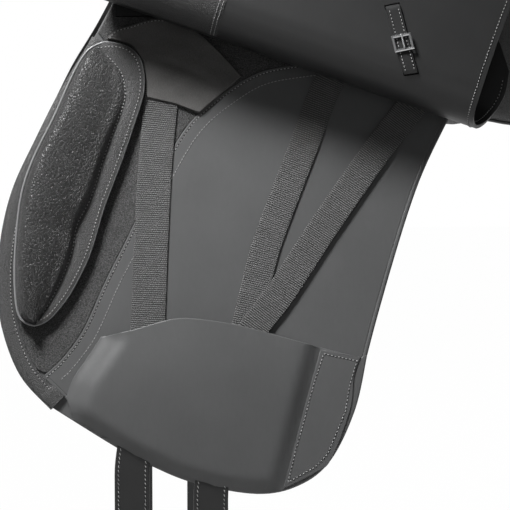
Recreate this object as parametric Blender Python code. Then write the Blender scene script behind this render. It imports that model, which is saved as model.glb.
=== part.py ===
"""Dressage saddle, near flap folded up over the seat, off flap hanging.

Frame: X runs from pommel to cantle, -Y is the near (left) side, +Z is up.
The origin is where the ridge of a saddle rack meets the gullet channel.
Flap pieces are drawn flat, as a saddler cuts them: x along the saddle, v up
the flap, both in metres, and n is the height above the inner face of the
sweat flap. place() wraps that plan round the side of the saddle.
"""

import math

import bmesh
import bpy
from mathutils import Matrix, Vector

MM = 0.001
GAP = 0.3 * MM
SIDES = {"near": -1.0, "off": 1.0}

# Side of the saddle: a flat stretch, an arc above it and a gentler curve below
FLAP_SPLAY = math.radians(14.0)
FLAP_HALF_WIDTH = 140.0 * MM
FLAT_TOP = 50.0 * MM
FLAT_LOW = -280.0 * MM
SIDE_ARC_RADIUS = 90.0 * MM
SIDE_ARC_STEPS = 12
FLAP_FOOT_SPLAY = math.radians(8.0)
FLAP_FOOT = -400.0 * MM
FOOT_STEPS = 6

# Leather and webbing thicknesses
SWEAT_FLAP_THICK = 3.0 * MM
FACING_THICK = 1.5 * MM
LOOP_FIELD_THICK = 1.3 * MM
BINDING_THICK = 1.9 * MM
WEB_THICK = 1.2 * MM
BILLET_THICK = 3.0 * MM
POCKET_WALL = 2.2 * MM
POINT_POCKET_THICK = 3.6 * MM
FLAP_THICK = 3.6 * MM
SKIRT_THICK = 3.0 * MM
PANEL_SKIN_GAP = 0.6 * MM

# Straps
FRONT_WEB_WIDTH = 28.0 * MM
REAR_WEB_WIDTH = 24.0 * MM
BILLET_WIDTH = 28.0 * MM
BILLET_LENGTH = 285.0 * MM
BILLET_ROUND = 1.3 * MM
BILLET_HEAD_CLEAR = 2.3 * MM
BILLET_HOLES = 10
BILLET_HOLE_STEP = 20.0 * MM
BILLET_HOLE_RADIUS = 2.2 * MM
BILLET_HOLE_END = 35.0 * MM

# Fold of the outer flap: two hinge lines with the bend piece between them
OUTLINE_STEP = 4.0 * MM
FOLD_TILT = math.radians(19.6)
FOLD_HEIGHT = -46.0 * MM
BEND_LENGTH = 56.0 * MM
FOLD_UP = math.radians(92.0)
FOLD_DOWN_ROOT = math.radians(28.0)
FOLD_DOWN_LEAF = math.radians(-21.0)

# Stack heights above the inner face of the sweat flap
FACING_LOW = SWEAT_FLAP_THICK + GAP
FACING_TOP = FACING_LOW + FACING_THICK
STRAP_LOW = FACING_TOP + GAP
STRAP_TOP = STRAP_LOW + WEB_THICK
CROSS_LOW = STRAP_TOP + GAP
CROSS_TOP = CROSS_LOW + WEB_THICK
BILLET_HEAD_TOP = STRAP_LOW + BILLET_THICK
POCKET_CEILING = max(CROSS_TOP, BILLET_HEAD_TOP) + 1.5 * GAP
POCKET_TOP = POCKET_CEILING + POCKET_WALL
POINT_POCKET_TOP = STRAP_LOW + POINT_POCKET_THICK
FLAP_LOW = POINT_POCKET_TOP + GAP
FLAP_MID = FLAP_LOW + FLAP_THICK / 2.0
FLAP_TOP = FLAP_LOW + FLAP_THICK

# Keeper strap, looped through two slots in the flap
KEEPER_BELOW_BEND = 12.0 * MM
KEEPER_LOW_SLOT = (67.0 * MM, BEND_LENGTH + KEEPER_BELOW_BEND)
KEEPER_SLANT = math.radians(32.0)
KEEPER_REACH = 60.0 * MM
KEEPER_WIDTH = 12.0 * MM
KEEPER_THICK = 2.2 * MM
KEEPER_LOOP_HEIGHT = 8.0 * MM
BUCKLE_AT = 27.0 * MM
BUCKLE_LENGTH = 12.0 * MM
BUCKLE_WIRE = 1.1 * MM
TONGUE_WIRE = 0.8 * MM
TONGUE_AHEAD = 0.8 * MM

# Knee block
BLOCK_HEIGHT = 32.0 * MM
BLOCK_FLANGE = 5.0 * MM
BLOCK_BASE = FACING_TOP + 1.6 * MM
HOOK_PATCH_INSET = 7.0 * MM
HOOK_PATCH_FRONT_INSET = 14.0 * MM

# Seat: station x, half width, centre height, drop of the edge
SEAT_STATIONS = (
    (-190.0, 66.0, 150.0, 34.0),
    (-175.0, 86.0, 156.0, 46.0),
    (-150.0, 98.0, 156.0, 54.0),
    (-115.0, 110.0, 144.0, 56.0),
    (-70.0, 122.0, 117.0, 46.0),
    (-20.0, 133.0, 94.0, 30.0),
    (30.0, 138.0, 84.0, 20.0),
    (85.0, 143.0, 85.0, 6.0),
    (140.0, 149.0, 98.0, -3.0),
    (190.0, 143.0, 124.0, 1.0),
    (225.0, 124.0, 147.0, 8.0),
    (250.0, 92.0, 164.0, 12.0),
    (262.0, 58.0, 170.0, 9.0),
)
SEAT_COVER_THICK = 2.5 * MM
FOAM_THICK = 14.0 * MM
TREE_THICK = 9.0 * MM
SEAT_SPAN = (-190.0 * MM, 262.0 * MM)
SEAT_COLUMNS = (0.0, 0.21, 0.42, 0.63, 0.82, 0.92, 1.0)
FOAM_COLUMNS = 6
TREE_COLUMNS = 5
FOAM_ROWS = (1, 3)
TREE_ROWS = (2, 4)
TREE_SLOT_SPAN = (-70.0 * MM, 150.0 * MM)
TREE_SLOT_HALF = 32.0 * MM
SEAT_ROWS = 20


def clear_scene():
    """Remove whatever the scene holds."""
    for old in list(bpy.data.objects):
        bpy.data.objects.remove(old, do_unlink=True)


def material(name, colour, roughness, metallic=0.0):
    """A Principled material in one colour."""
    made = bpy.data.materials.new(name)
    made.use_nodes = True
    shader = made.node_tree.nodes["Principled BSDF"]
    shader.inputs["Base Color"].default_value = (*colour, 1.0)
    shader.inputs["Roughness"].default_value = roughness
    shader.inputs["Metallic"].default_value = metallic
    made.diffuse_color = (*colour, 1.0)
    return made


FINISHES = {
    "smooth_leather": ((0.035, 0.035, 0.037), 0.45, 0.0),
    "grain_leather": ((0.028, 0.028, 0.030), 0.50, 0.0),
    "suede": ((0.020, 0.017, 0.016), 0.95, 0.0),
    "loop_felt": ((0.045, 0.045, 0.045), 1.0, 0.0),
    "webbing": ((0.060, 0.060, 0.062), 0.85, 0.0),
    "billet_leather": ((0.012, 0.012, 0.013), 0.40, 0.0),
    "panel_leather": ((0.030, 0.030, 0.031), 0.55, 0.0),
    "wood": ((0.42, 0.27, 0.14), 0.60, 0.0),
    "foam": ((0.72, 0.66, 0.50), 0.95, 0.0),
    "steel": ((0.62, 0.62, 0.62), 0.28, 1.0),
    "plate_steel": ((0.35, 0.36, 0.38), 0.45, 1.0),
}


def finished(name, bm, finish, origin=None, smooth=False):
    """Turn a bmesh into a named object whose origin sits at the given point."""
    bmesh.ops.recalc_face_normals(bm, faces=bm.faces[:])
    centre = Vector(origin) if origin is not None else Vector((0.0, 0.0, 0.0))
    bmesh.ops.translate(bm, verts=bm.verts[:], vec=-centre)
    mesh = bpy.data.meshes.new(name)
    bm.to_mesh(mesh)
    bm.free()
    made = bpy.data.objects.new(name, mesh)
    bpy.context.scene.collection.objects.link(made)
    made.location = centre
    mesh.materials.append(material(name, *FINISHES[finish]))
    if smooth:
        mesh.shade_smooth()
        mesh.set_sharp_from_angle(angle=math.radians(40.0))
    return made


def cutter(name, bm):
    """A hidden object that a Boolean takes away from another."""
    bmesh.ops.recalc_face_normals(bm, faces=bm.faces[:])
    mesh = bpy.data.meshes.new(name)
    bm.to_mesh(mesh)
    bm.free()
    made = bpy.data.objects.new(name, mesh)
    bpy.context.scene.collection.objects.link(made)
    made.hide_render = True
    made.display_type = "WIRE"
    return made


def boolean(target, tool, operation="DIFFERENCE"):
    """Cut, join or keep what a tool shares with the target."""
    step = target.modifiers.new(tool.name, "BOOLEAN")
    step.operation = operation
    step.object = tool
    return step


# Plan curves

def spline(points, per_span=4):
    """A smooth open curve through plan points given in millimetres."""
    count = len(points)
    curve = []
    for i in range(count - 1):
        p0 = Vector(points[max(i - 1, 0)])
        p1 = Vector(points[i])
        p2 = Vector(points[i + 1])
        p3 = Vector(points[min(i + 2, count - 1)])
        for k in range(per_span):
            t = k / per_span
            bend = (2.0 * p1 + (p2 - p0) * t + (2.0 * p0 - 5.0 * p1 + 4.0 * p2 - p3) * t * t
                    + (3.0 * p1 - p0 - 3.0 * p2 + p3) * t ** 3) * 0.5
            curve.append(bend)
    curve.append(Vector(points[-1]))
    return [p * MM for p in curve]


def straight(points):
    """Plan corners in millimetres, joined by straight cuts."""
    return [Vector(p) * MM for p in points]


def ring(*runs):
    """One closed outline from runs that follow each other."""
    joined = []
    for run in runs:
        for p in run:
            if not joined or (p - joined[-1]).length > 0.2 * MM:
                joined.append(p)
    while (joined[0] - joined[-1]).length <= 0.2 * MM:
        joined.pop()
    return joined


def left_normal(points, i):
    """Unit normal to the left of a path at one of its points."""
    ahead = points[min(i + 1, len(points) - 1)]
    behind = points[max(i - 1, 0)]
    along = (ahead - behind).normalized()
    return Vector((-along.y, along.x))


def shifted(points, distance):
    """A path moved sideways, to its left for a positive distance."""
    return [p + left_normal(points, i) * distance for i, p in enumerate(points)]


def band(points, width):
    """The closed outline of a strap of one width along a path."""
    left = shifted(points, width / 2.0)
    right = shifted(points, -width / 2.0)
    return left + right[::-1]


def part_of(points, low, high):
    """The points of a path whose height lies between two heights."""
    return [p for p in points if low <= p.y <= high]


def reach(points, v):
    """The point of a path at height v, found by linear steps."""
    for a, b in zip(points, points[1:]):
        if min(a.y, b.y) <= v <= max(a.y, b.y) and a.y != b.y:
            return a.lerp(b, (v - a.y) / (b.y - a.y))
    return points[-1].copy()


# The side surface

def side_profile():
    """Levels up the side: v, distance from the centre plane, height, mitred normal."""
    spans = []
    foot_step = (FLAT_LOW - FLAP_FOOT) / FOOT_STEPS
    for k in range(FOOT_STEPS):
        share = (k + 0.5) / FOOT_STEPS
        spans.append((foot_step, FLAP_FOOT_SPLAY + (FLAP_SPLAY - FLAP_FOOT_SPLAY) * share))
    spans.append((FLAT_TOP - FLAT_LOW, FLAP_SPLAY))
    turn = (math.pi / 2.0 - FLAP_SPLAY) / SIDE_ARC_STEPS
    for k in range(SIDE_ARC_STEPS):
        spans.append((SIDE_ARC_RADIUS * turn, FLAP_SPLAY + turn * (k + 0.5)))
    v, y, z = FLAP_FOOT, 0.0, 0.0
    points = [(v, y, z)]
    for length, angle in spans:
        v += length
        y -= length * math.sin(angle)
        z += length * math.cos(angle)
        points.append((v, y, z))
    low = next(p for p in points if abs(p[0] - FLAT_LOW) < 1e-6)
    y_shift = FLAP_HALF_WIDTH - (low[1] + FLAT_LOW * math.sin(FLAP_SPLAY))
    z_shift = -(low[2] - FLAT_LOW * math.cos(FLAP_SPLAY))
    normals = [Vector((math.cos(a), math.sin(a))) for _, a in spans]
    levels = []
    for i, (v, y, z) in enumerate(points):
        first = normals[max(i - 1, 0)]
        second = normals[min(i, len(normals) - 1)]
        mitre = (first + second) / (1.0 + first.dot(second))
        levels.append((v, y + y_shift, z + z_shift, mitre))
    return levels


LEVELS = side_profile()


def place(side, x, v, n):
    """Wrap a plan point onto the side of the saddle, n above the sweat flap."""
    i = 0
    while i < len(LEVELS) - 2 and v > LEVELS[i + 1][0]:
        i += 1
    low, high = LEVELS[i], LEVELS[i + 1]
    t = (v - low[0]) / (high[0] - low[0])
    y = low[1] + (high[1] - low[1]) * t
    z = low[2] + (high[2] - low[2]) * t
    lift = low[3].lerp(high[3], t) * n
    return Vector((x, SIDES[side] * (y + lift.x), z + lift.y))


def side_vectors(side):
    """Unit vectors of the flat stretch: down the flap and out of it."""
    s = SIDES[side]
    down = Vector((0.0, s * math.sin(FLAP_SPLAY), -math.cos(FLAP_SPLAY)))
    out = Vector((0.0, s * math.cos(FLAP_SPLAY), math.sin(FLAP_SPLAY)))
    return down, out


def cut_plan(outline, x_cuts=(), v_cuts=()):
    """A flat face with the outline, split at the given places."""
    bm = bmesh.new()
    bm.faces.new([bm.verts.new((p.x, p.y, 0.0)) for p in outline])
    for axis, places in (((1.0, 0.0, 0.0), x_cuts), ((0.0, 1.0, 0.0), v_cuts)):
        for at in places:
            point = Vector(axis) * at
            bmesh.ops.bisect_plane(bm, geom=bm.verts[:] + bm.edges[:] + bm.faces[:],
                                   dist=1e-6, plane_co=point, plane_no=axis)
    return bm


def plate_mesh(mapping, outline, low, high, x_cuts=(), v_cuts=()):
    """A closed plate between two heights, given as numbers or functions of x and v."""
    bm = cut_plan(outline, x_cuts, v_cuts)
    uneven = callable(low) or callable(high)
    made = bmesh.ops.extrude_face_region(bm, geom=bm.faces[:])
    raised = {g for g in made["geom"] if isinstance(g, bmesh.types.BMVert)}
    for vert in bm.verts:
        height = high if vert in raised else low
        x, v = vert.co.x, vert.co.y
        vert.co = mapping(x, v, height(x, v) if callable(height) else height)
    if uneven:
        bmesh.ops.triangulate(bm, faces=bm.faces[:])
    return bm


def side_plate(side, outline, low, high, x_cuts=(), v_cuts=()):
    """A plate wrapped onto one side of the saddle."""
    heights = [p.y for p in outline]
    bends = [level[0] for level in LEVELS if min(heights) < level[0] < max(heights)]

    def mapping(x, v, n):
        return place(side, x, v, n)

    return plate_mesh(mapping, outline, low, high, x_cuts, sorted(set(bends) | set(v_cuts)))


def steps(low, high, count):
    """Evenly spaced values strictly between two ends."""
    return [low + (high - low) * (k + 1) / (count + 1) for k in range(count)]


# Outlines of the side pieces, in millimetres of the flat plan

FRONT_EDGE = spline([(-166, 38), (-175, 18), (-193, -16), (-214, -52), (-235, -95), (-252, -133),
                     (-261, -169), (-264.5, -208), (-261, -247), (-246, -287), (-221, -315)], 3)
BOTTOM_EDGE = spline([(-221, -315), (-170, -347), (-141, -362.5), (-106, -376.5), (-56, -385.5),
                      (-22, -379), (4, -359), (24.5, -318), (35, -274)], 4)
REAR_EDGE = straight([(35, -274), (44, -242), (59.5, -191), (74.5, -146), (88.5, -112), (112, -66)])
ARC_EDGE = spline([(-227, -288), (-213, -275), (-196, -251), (-179, -213), (-165, -185),
                   (-144.5, -143), (-124, -103), (-105, -75.5), (-77, -52), (-48.5, -36),
                   (-11, -29), (30, -25)], 3)
BINDING_WIDTH = 11.0 * MM
BINDING_TOP = 4.0 * MM
POCKET_BRIM = spline([(-182, -258), (-158, -254), (-125, -245), (-105, -244.5), (-78, -248.5),
                      (-56, -253.5), (-22, -263), (29.5, -276)], 3)

FRONT_WEB_PATH = spline([(-129, -28), (-137, -110), (-141, -180), (-144, -250), (-148, -300)], 3)
REAR_WEB_PATH = spline([(28, -20), (8, -43), (-17, -106), (-40, -165), (-50, -195), (-63, -247),
                        (-79, -308)], 3)
CROSS_WEB_PATH = spline([(103, -36), (76, -66), (41, -111), (1.5, -167), (-13, -189), (-37, -225),
                         (-58, -252), (-72, -276)], 3)
FRONT_BILLET_X = (-150.0 * MM, -157.0 * MM)
REAR_BILLET_X = (-86.0 * MM, -93.5 * MM)
BILLET_NAMES = ("front", "rear")
BILLET_HEAD_TOP_V = (-304.0 * MM, -312.0 * MM)
BILLET_HINGE_V = (-369.0 * MM, -389.0 * MM)


def sweat_flap_outline():
    """Plan of the whole sweat flap."""
    top = straight([(104, -30), (60, 22), (0, 44), (-120, 48), (-160, 48)])
    return ring(FRONT_EDGE, BOTTOM_EDGE, REAR_EDGE, top)


def loop_field_outline():
    """Plan of the loops between the binding and the facing."""
    clear = GAP
    left = [p for p in shifted(FRONT_EDGE, BINDING_WIDTH + clear) if p.y > ARC_EDGE[0].y + 12.0 * MM]
    arc = shifted(ARC_EDGE, clear)
    arc = [p for p in arc if p.y > -279.0 * MM]
    top = straight([(30, 22), (-10, 38), (-120, 42), (-150, 42)])
    return ring(left, arc, top)


def facing_outline():
    """Plan of the smooth facing behind the arc."""
    foot = [p for p in shifted(FRONT_EDGE, BINDING_WIDTH + GAP) if p.y < ARC_EDGE[0].y + 2.0 * MM]
    bottom = shifted(BOTTOM_EDGE, 1.0 * MM)[2:]
    rear = shifted(REAR_EDGE, 1.0 * MM)
    top = straight([(100, -30), (60, 16), (34, 24)])
    return ring(foot, bottom, rear, top, ARC_EDGE[::-1])


def pocket_outline():
    """Plan of the guard over the billet heads."""
    arc_side = straight([(-210, -307), (-204, -291), (-193, -275), (-182, -258)])
    bottom = shifted(BOTTOM_EDGE, 1.5 * MM)
    bottom = [p for p in bottom if p.x > -207.0 * MM]
    rear = shifted(BOTTOM_EDGE, 4.5 * MM)[-3:]
    return ring(arc_side, POCKET_BRIM, rear[::-1], bottom[::-1][2:])


def pocket_hollow():
    """The open space under the pocket: in at its brim, out at the two billets."""
    rim = 7.0
    brim = straight([(-176, -240), (-8, -240)])
    rear = straight([(-10, -275), (-37, -352)])
    bottom = shifted(BOTTOM_EDGE, (rim + 1.5) * MM)
    floor = [p for p in bottom if -200.0 * MM < p.x < -50.0 * MM][::-1]
    front = straight([(-195, -296), (-178, -268)])
    return ring(brim, rear, floor, front)


def make_sweat_flap(side):
    """The large inner layer."""
    bm = side_plate(side, sweat_flap_outline(), 0.0, SWEAT_FLAP_THICK)
    return finished(f"{side}_sweat_flap", bm, "smooth_leather")


def make_facing(side):
    """The facing sewn over the rear of the sweat flap."""
    bm = side_plate(side, facing_outline(), FACING_LOW, FACING_TOP)
    return finished(f"{side}_flap_facing", bm, "smooth_leather")


def make_loop_field(side):
    """The field of loops that the knee block grips."""
    bm = side_plate(side, loop_field_outline(), FACING_LOW, FACING_LOW + LOOP_FIELD_THICK)
    return finished(f"{side}_loop_field", bm, "loop_felt")


def make_front_binding(side):
    """A strip folded round the front edge of the sweat flap."""
    top = FACING_LOW + BINDING_THICK
    under = -GAP - BINDING_THICK
    wrap = -2.2 * MM
    profile = ((BINDING_WIDTH, FACING_LOW), (BINDING_WIDTH, top), (2.0 * MM, top + 0.5 * MM),
               (-1.0 * MM, top), (wrap, SWEAT_FLAP_THICK / 2.0), (-1.0 * MM, under),
               (7.0 * MM, under), (7.0 * MM, -GAP), (-GAP, -GAP), (-GAP, FACING_LOW))
    path = part_of(FRONT_EDGE, -1.0, BINDING_TOP)
    bm = bmesh.new()
    rings = []
    for i, p in enumerate(path):
        inward = left_normal(path, i)
        row = []
        for across, n in profile:
            q = p + inward * across
            row.append(bm.verts.new(place(side, q.x, q.y, n)))
        rings.append(row)
    bridge_rings(bm, rings)
    return finished(f"{side}_front_binding", bm, "grain_leather", smooth=True)


def bridge_rings(bm, rings, caps=True):
    """Skin a row of closed rings with equal counts, and cap the two ends."""
    count = len(rings[0])
    for first, second in zip(rings, rings[1:]):
        for k in range(count):
            j = (k + 1) % count
            bm.faces.new((first[k], first[j], second[j], second[k]))
    if caps:
        bm.faces.new(rings[0])
        bm.faces.new(rings[-1][::-1])


def point_pocket_outline():
    """The pocket's outline, cut back along the top of the knee block."""
    top = spline([(-166, -6), (-162, 1), (-150, 6), (-128, 4), (-105, -1.5), (-84, -21), (-66, -41)], 3)
    low = straight([(-103, -72), (-121.5, -64), (-143, -59), (-144, -48), (-146, -28), (-154, -14)])
    return ring(top, low)


def make_point_pocket(side):
    """A suede pocket, hollow for the tree point and channelled over the front web."""
    bm = side_plate(side, point_pocket_outline(), STRAP_LOW, POINT_POCKET_TOP)
    pocket = finished(f"{side}_point_pocket", bm, "suede")
    corners = straight([(-162, -24), (-112, -24), (-116, -100), (-162, -100)])
    channel = side_plate(side, corners, STRAP_LOW - 1.0 * MM, STRAP_TOP + GAP)
    boolean(pocket, cutter(f"{side}_pocket_channel", channel))
    return pocket


def make_webs(side):
    """The front web, the rear web and the web that crosses it."""
    front = side_plate(side, band(FRONT_WEB_PATH, FRONT_WEB_WIDTH), STRAP_LOW, STRAP_TOP)
    finished(f"{side}_front_web", front, "webbing")
    rear = side_plate(side, band(REAR_WEB_PATH, REAR_WEB_WIDTH), STRAP_LOW, STRAP_TOP)
    finished(f"{side}_rear_web", rear, "webbing")
    cross = side_plate(side, band(CROSS_WEB_PATH, REAR_WEB_WIDTH), CROSS_LOW, CROSS_TOP)
    finished(f"{side}_crossing_web", cross, "webbing")


def make_billet_pocket(side):
    """The guard: stitched down at its rim and raised over webs and billets."""
    bm = side_plate(side, pocket_outline(), STRAP_LOW, POCKET_TOP)
    guard = finished(f"{side}_billet_pocket", bm, "smooth_leather")
    hollow = side_plate(side, pocket_hollow(), STRAP_LOW - 1.0 * MM, POCKET_CEILING, steps(-200 * MM, -20 * MM, 1))
    boolean(guard, cutter(f"{side}_pocket_hollow", hollow))
    for name, path in (("front", billet_path(FRONT_BILLET_X, 0)), ("rear", billet_path(REAR_BILLET_X, 1))):
        slot = side_plate(side, band(path, BILLET_WIDTH + 2.0 * GAP), STRAP_LOW - 1.3 * MM,
                          POCKET_CEILING - 0.15 * MM)
        boolean(guard, cutter(f"{side}_{name}_billet_exit", slot))
    return guard


def billet_path(xs, which):
    """Centre line of a billet head, from its seam with the web to its hinge."""
    top = Vector((xs[0] + 6.0 * MM * (which * 1.0), BILLET_HEAD_TOP_V[which]))
    return [top, Vector((xs[0], (BILLET_HEAD_TOP_V[which] + BILLET_HINGE_V[which]) / 2.0)),
            Vector((xs[1], BILLET_HINGE_V[which]))]


def make_billet_head(side, which):
    """The upper end of a billet, sewn to its web inside the pocket."""
    path = billet_path((FRONT_BILLET_X, REAR_BILLET_X)[which], which)
    outline = band(path, BILLET_WIDTH)
    for corner in outline[len(path) - 1:len(path) + 1]:
        corner.y = BILLET_HINGE_V[which] + BILLET_HEAD_CLEAR
    bm = side_plate(side, outline, STRAP_LOW, BILLET_HEAD_TOP)
    return finished(f"{side}_{BILLET_NAMES[which]}_billet_head", bm, "billet_leather")


def billet_hinge(side, which):
    """Middle of the line a billet swings on."""
    xs = (FRONT_BILLET_X, REAR_BILLET_X)[which]
    return place(side, xs[1], BILLET_HINGE_V[which], (STRAP_LOW + BILLET_HEAD_TOP) / 2.0)


def make_billet(side, which):
    """A hanging girth strap with a round upper end, a pointed foot and punched holes."""
    name = BILLET_NAMES[which]
    hinge = billet_hinge(side, which)
    half = BILLET_WIDTH / 2.0
    tip = 14.0 * MM
    outline = [(-half, BILLET_ROUND), (-half, -BILLET_LENGTH + tip), (-half * 0.45, -BILLET_LENGTH + 2.0 * MM),
               (0.0, -BILLET_LENGTH), (half * 0.45, -BILLET_LENGTH + 2.0 * MM),
               (half, -BILLET_LENGTH + tip), (half, BILLET_ROUND)]
    bm = bmesh.new()
    face = bm.faces.new([bm.verts.new((x, 0.0, z)) for x, z in outline])
    bmesh.ops.translate(bm, verts=bm.verts[:], vec=(0.0, -BILLET_THICK / 2.0, 0.0))
    made = bmesh.ops.extrude_face_region(bm, geom=[face])
    raised = [g for g in made["geom"] if isinstance(g, bmesh.types.BMVert)]
    bmesh.ops.translate(bm, verts=raised, vec=(0.0, BILLET_THICK, 0.0))
    bmesh.ops.translate(bm, verts=bm.verts[:], vec=hinge)
    billet = finished(f"{side}_{name}_billet", bm, "billet_leather", origin=hinge)
    holes = bmesh.new()
    for k in range(BILLET_HOLES):
        down = BILLET_LENGTH - BILLET_HOLE_END - k * BILLET_HOLE_STEP
        turn = Matrix.Translation(hinge - Vector((0.0, 0.0, down))) @ Matrix.Rotation(math.pi / 2.0, 4, "X")
        bmesh.ops.create_cone(holes, cap_ends=True, segments=6, radius1=BILLET_HOLE_RADIUS,
                              radius2=BILLET_HOLE_RADIUS, depth=BILLET_THICK * 3.0, matrix=turn)
    boolean(billet, cutter(f"{side}_{name}_billet_holes", holes))
    return billet


# Knee block: edge lines in the plan, front and rear, from top to foot

BLOCK_FRONT = spline([(-180, -13), (-193, -20), (-205, -40), (-221, -77), (-236, -108), (-246, -137),
                      (-250.5, -170), (-249.5, -205), (-245, -230), (-235, -249)], 3)
BLOCK_REAR = spline([(-178, -13), (-158, -18), (-149, -32), (-147, -54), (-155, -82), (-166, -115),
                     (-179, -150), (-192, -188), (-206, -218), (-222, -243)], 3)
BLOCK_SEAM_SHARE = 0.76


def block_section(share):
    """Across-width shares and heights of the block at a share of its length."""
    swell = math.sin(math.pi * (0.04 + 0.90 * share)) ** 0.8
    ridge = BLOCK_FLANGE + (BLOCK_HEIGHT - BLOCK_FLANGE) * swell
    scoop = BLOCK_FLANGE + (ridge - BLOCK_FLANGE) * 0.62
    return ((0.0, 0.0), (0.0, BLOCK_FLANGE * 0.9), (-0.035, ridge * 0.45), (0.03, ridge * 0.82),
            (0.13, ridge), (0.27, ridge * 0.97), (0.45, scoop + (ridge - scoop) * 0.45),
            (0.62, scoop * 0.86), (BLOCK_SEAM_SHARE, BLOCK_FLANGE + 1.5 * MM),
            (0.84, BLOCK_FLANGE), (0.97, BLOCK_FLANGE), (1.0, BLOCK_FLANGE * 0.55), (1.0, 0.0))


def make_knee_block(side):
    """A moulded, padded block with a raised bolster in front and a flat flange behind."""
    rows = len(BLOCK_FRONT)
    bm = bmesh.new()
    rings = []
    for i in range(1, rows):
        front, rear = BLOCK_FRONT[i], BLOCK_REAR[i]
        row = []
        for across, height in block_section(i / (rows - 1)):
            q = front.lerp(rear, across)
            row.append(bm.verts.new(place(side, q.x, q.y, BLOCK_BASE + height)))
        rings.append(row)
    bridge_rings(bm, rings)
    block = finished(f"{side}_knee_block", bm, "grain_leather", smooth=True)
    return block


def make_hook_patch(side):
    """The stiff patch of hooks under the block, which grips the loop field."""
    front = shifted(BLOCK_FRONT, HOOK_PATCH_FRONT_INSET)[5:-4]
    rear = shifted(BLOCK_REAR, -HOOK_PATCH_INSET)[6:-3]
    outline = ring(front, rear[::-1])
    bm = side_plate(side, outline, FACING_LOW + LOOP_FIELD_THICK + GAP, BLOCK_BASE + 1.0 * MM)
    return cutter(f"{side}_hook_patch", bm)


# Outer flap: drawn flat with its fold, then folded

def fold_point(side):
    """Middle of the first hinge line, in the middle of the leather."""
    return place(side, 0.0, FOLD_HEIGHT, FLAP_MID)


def fold_vectors(side):
    """Unit vectors along the fold, down from it in the flap, and out of the flap."""
    down, out = side_vectors(side)
    ahead = Vector((1.0, 0.0, 0.0))
    along = ahead * math.cos(FOLD_TILT) + down * math.sin(FOLD_TILT)
    across = down * math.cos(FOLD_TILT) - ahead * math.sin(FOLD_TILT)
    return along, across, out


def folds(side):
    """Turn at the first and second hinge lines at rest."""
    return (FOLD_UP, FOLD_UP) if side == "near" else (FOLD_DOWN_ROOT, FOLD_DOWN_LEAF)


def flap_frames(side):
    """Origin and directions (along, across, out) of the root, the bend and the leaf."""
    along, across, out = fold_vectors(side)
    frames = [(fold_point(side), along, across, out)]
    origin = fold_point(side)
    turn = 0.0
    for angle, length in zip(folds(side), (0.0, BEND_LENGTH)):
        if length:
            origin = origin + frames[-1][2] * length
        turn += angle
        new_across = across * math.cos(turn) + out * math.sin(turn)
        new_out = out * math.cos(turn) - across * math.sin(turn)
        frames.append((origin, along, new_across, new_out))
    return frames


def to_fold(p):
    """Plan point to distance along the fold line and distance below it."""
    rel = Vector((p.x, -(p.y - FOLD_HEIGHT)))
    along = Vector((math.cos(FOLD_TILT), math.sin(FOLD_TILT)))
    across = Vector((-math.sin(FOLD_TILT), math.cos(FOLD_TILT)))
    return Vector((rel.dot(along), rel.dot(across)))


FLAP_FRONT = spline([(-172, 50), (-186, 22), (-203, -12), (-224, -50), (-245, -94), (-262, -133),
                     (-271, -170), (-274, -208), (-271, -248), (-256, -290), (-228, -322)], 3)
FLAP_BOTTOM = spline([(-228, -322), (-175, -356), (-106, -388), (-52, -396), (-8, -386), (24, -360),
                      (44, -318), (56, -270)], 3)
FLAP_REAR = straight([(56, -270), (78, -200), (100, -140), (126, -80)])
ROOT_TOP = straight([(126, -80), (141, -50), (150, -26), (143, -12), (118, 6), (82, 20), (20, 46), (-50, 62),
                     (-95, 66), (-102, 30), (-160, 32), (-168, 62), (-172, 64)])


def leaf_outline():
    """The flap below its fold, as distances along the fold and below it."""
    whole = [to_fold(p) for p in FLAP_FRONT + FLAP_BOTTOM[1:] + FLAP_REAR[1:]]
    start = BEND_LENGTH + FLAP_THICK / 2.0 + GAP + FLAP_THICK / 2.0
    below = [q for q in whole if q.y > start + OUTLINE_STEP]
    front_edge = reach(whole[:len(FLAP_FRONT)], start)
    rear_edge = reach(whole[len(FLAP_FRONT):], start)
    return [front_edge] + below + [rear_edge], start


def fold_width(depth):
    """Where the flap's front and rear edges meet a line below the fold."""
    front = [to_fold(p) for p in FLAP_FRONT]
    rear = [to_fold(p) for p in FLAP_REAR]
    return reach(front, depth).x, reach(rear, depth).x


def round_end(centre_q, toward, count=5):
    """Half circle of (q, n) points round the end of a piece, of the leather's thickness."""
    radius = FLAP_THICK / 2.0
    angles = [math.pi * k / count for k in range(count + 1)]
    return [(centre_q + toward * radius * math.sin(a), radius * math.cos(a)) for a in angles]


def fold_strip(side, name, frame, profile, front, rear, finish, origin):
    """A strip along the fold with a constant section of (q, n) points."""
    base, along, across, out = frame
    bm = bmesh.new()
    rings = []
    for a_of in (front, rear):
        row = []
        for q, n in profile:
            point = base + along * a_of(q) + across * q + out * n
            row.append(bm.verts.new(point))
        rings.append(row)
    bridge_rings(bm, rings)
    return finished(f"{side}_{name}", bm, finish, origin=origin)


def make_flap_bend(side):
    """The bend piece between the two hinge lines, round at both ends."""
    frames = flap_frames(side)
    radius = FLAP_THICK / 2.0
    first = 2.0 * radius + GAP
    profile = round_end(first, -1.0) + round_end(BEND_LENGTH, 1.0)[::-1]
    f0, r0 = fold_width(0.0)
    f1, r1 = fold_width(BEND_LENGTH)

    def front(q):
        return f0 + (f1 - f0) * q / BEND_LENGTH

    def rear(q):
        return r0 + (r1 - r0) * q / BEND_LENGTH

    return fold_strip(side, "flap_bend", frames[1], profile, front, rear, "smooth_leather", frames[1][0])


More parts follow.
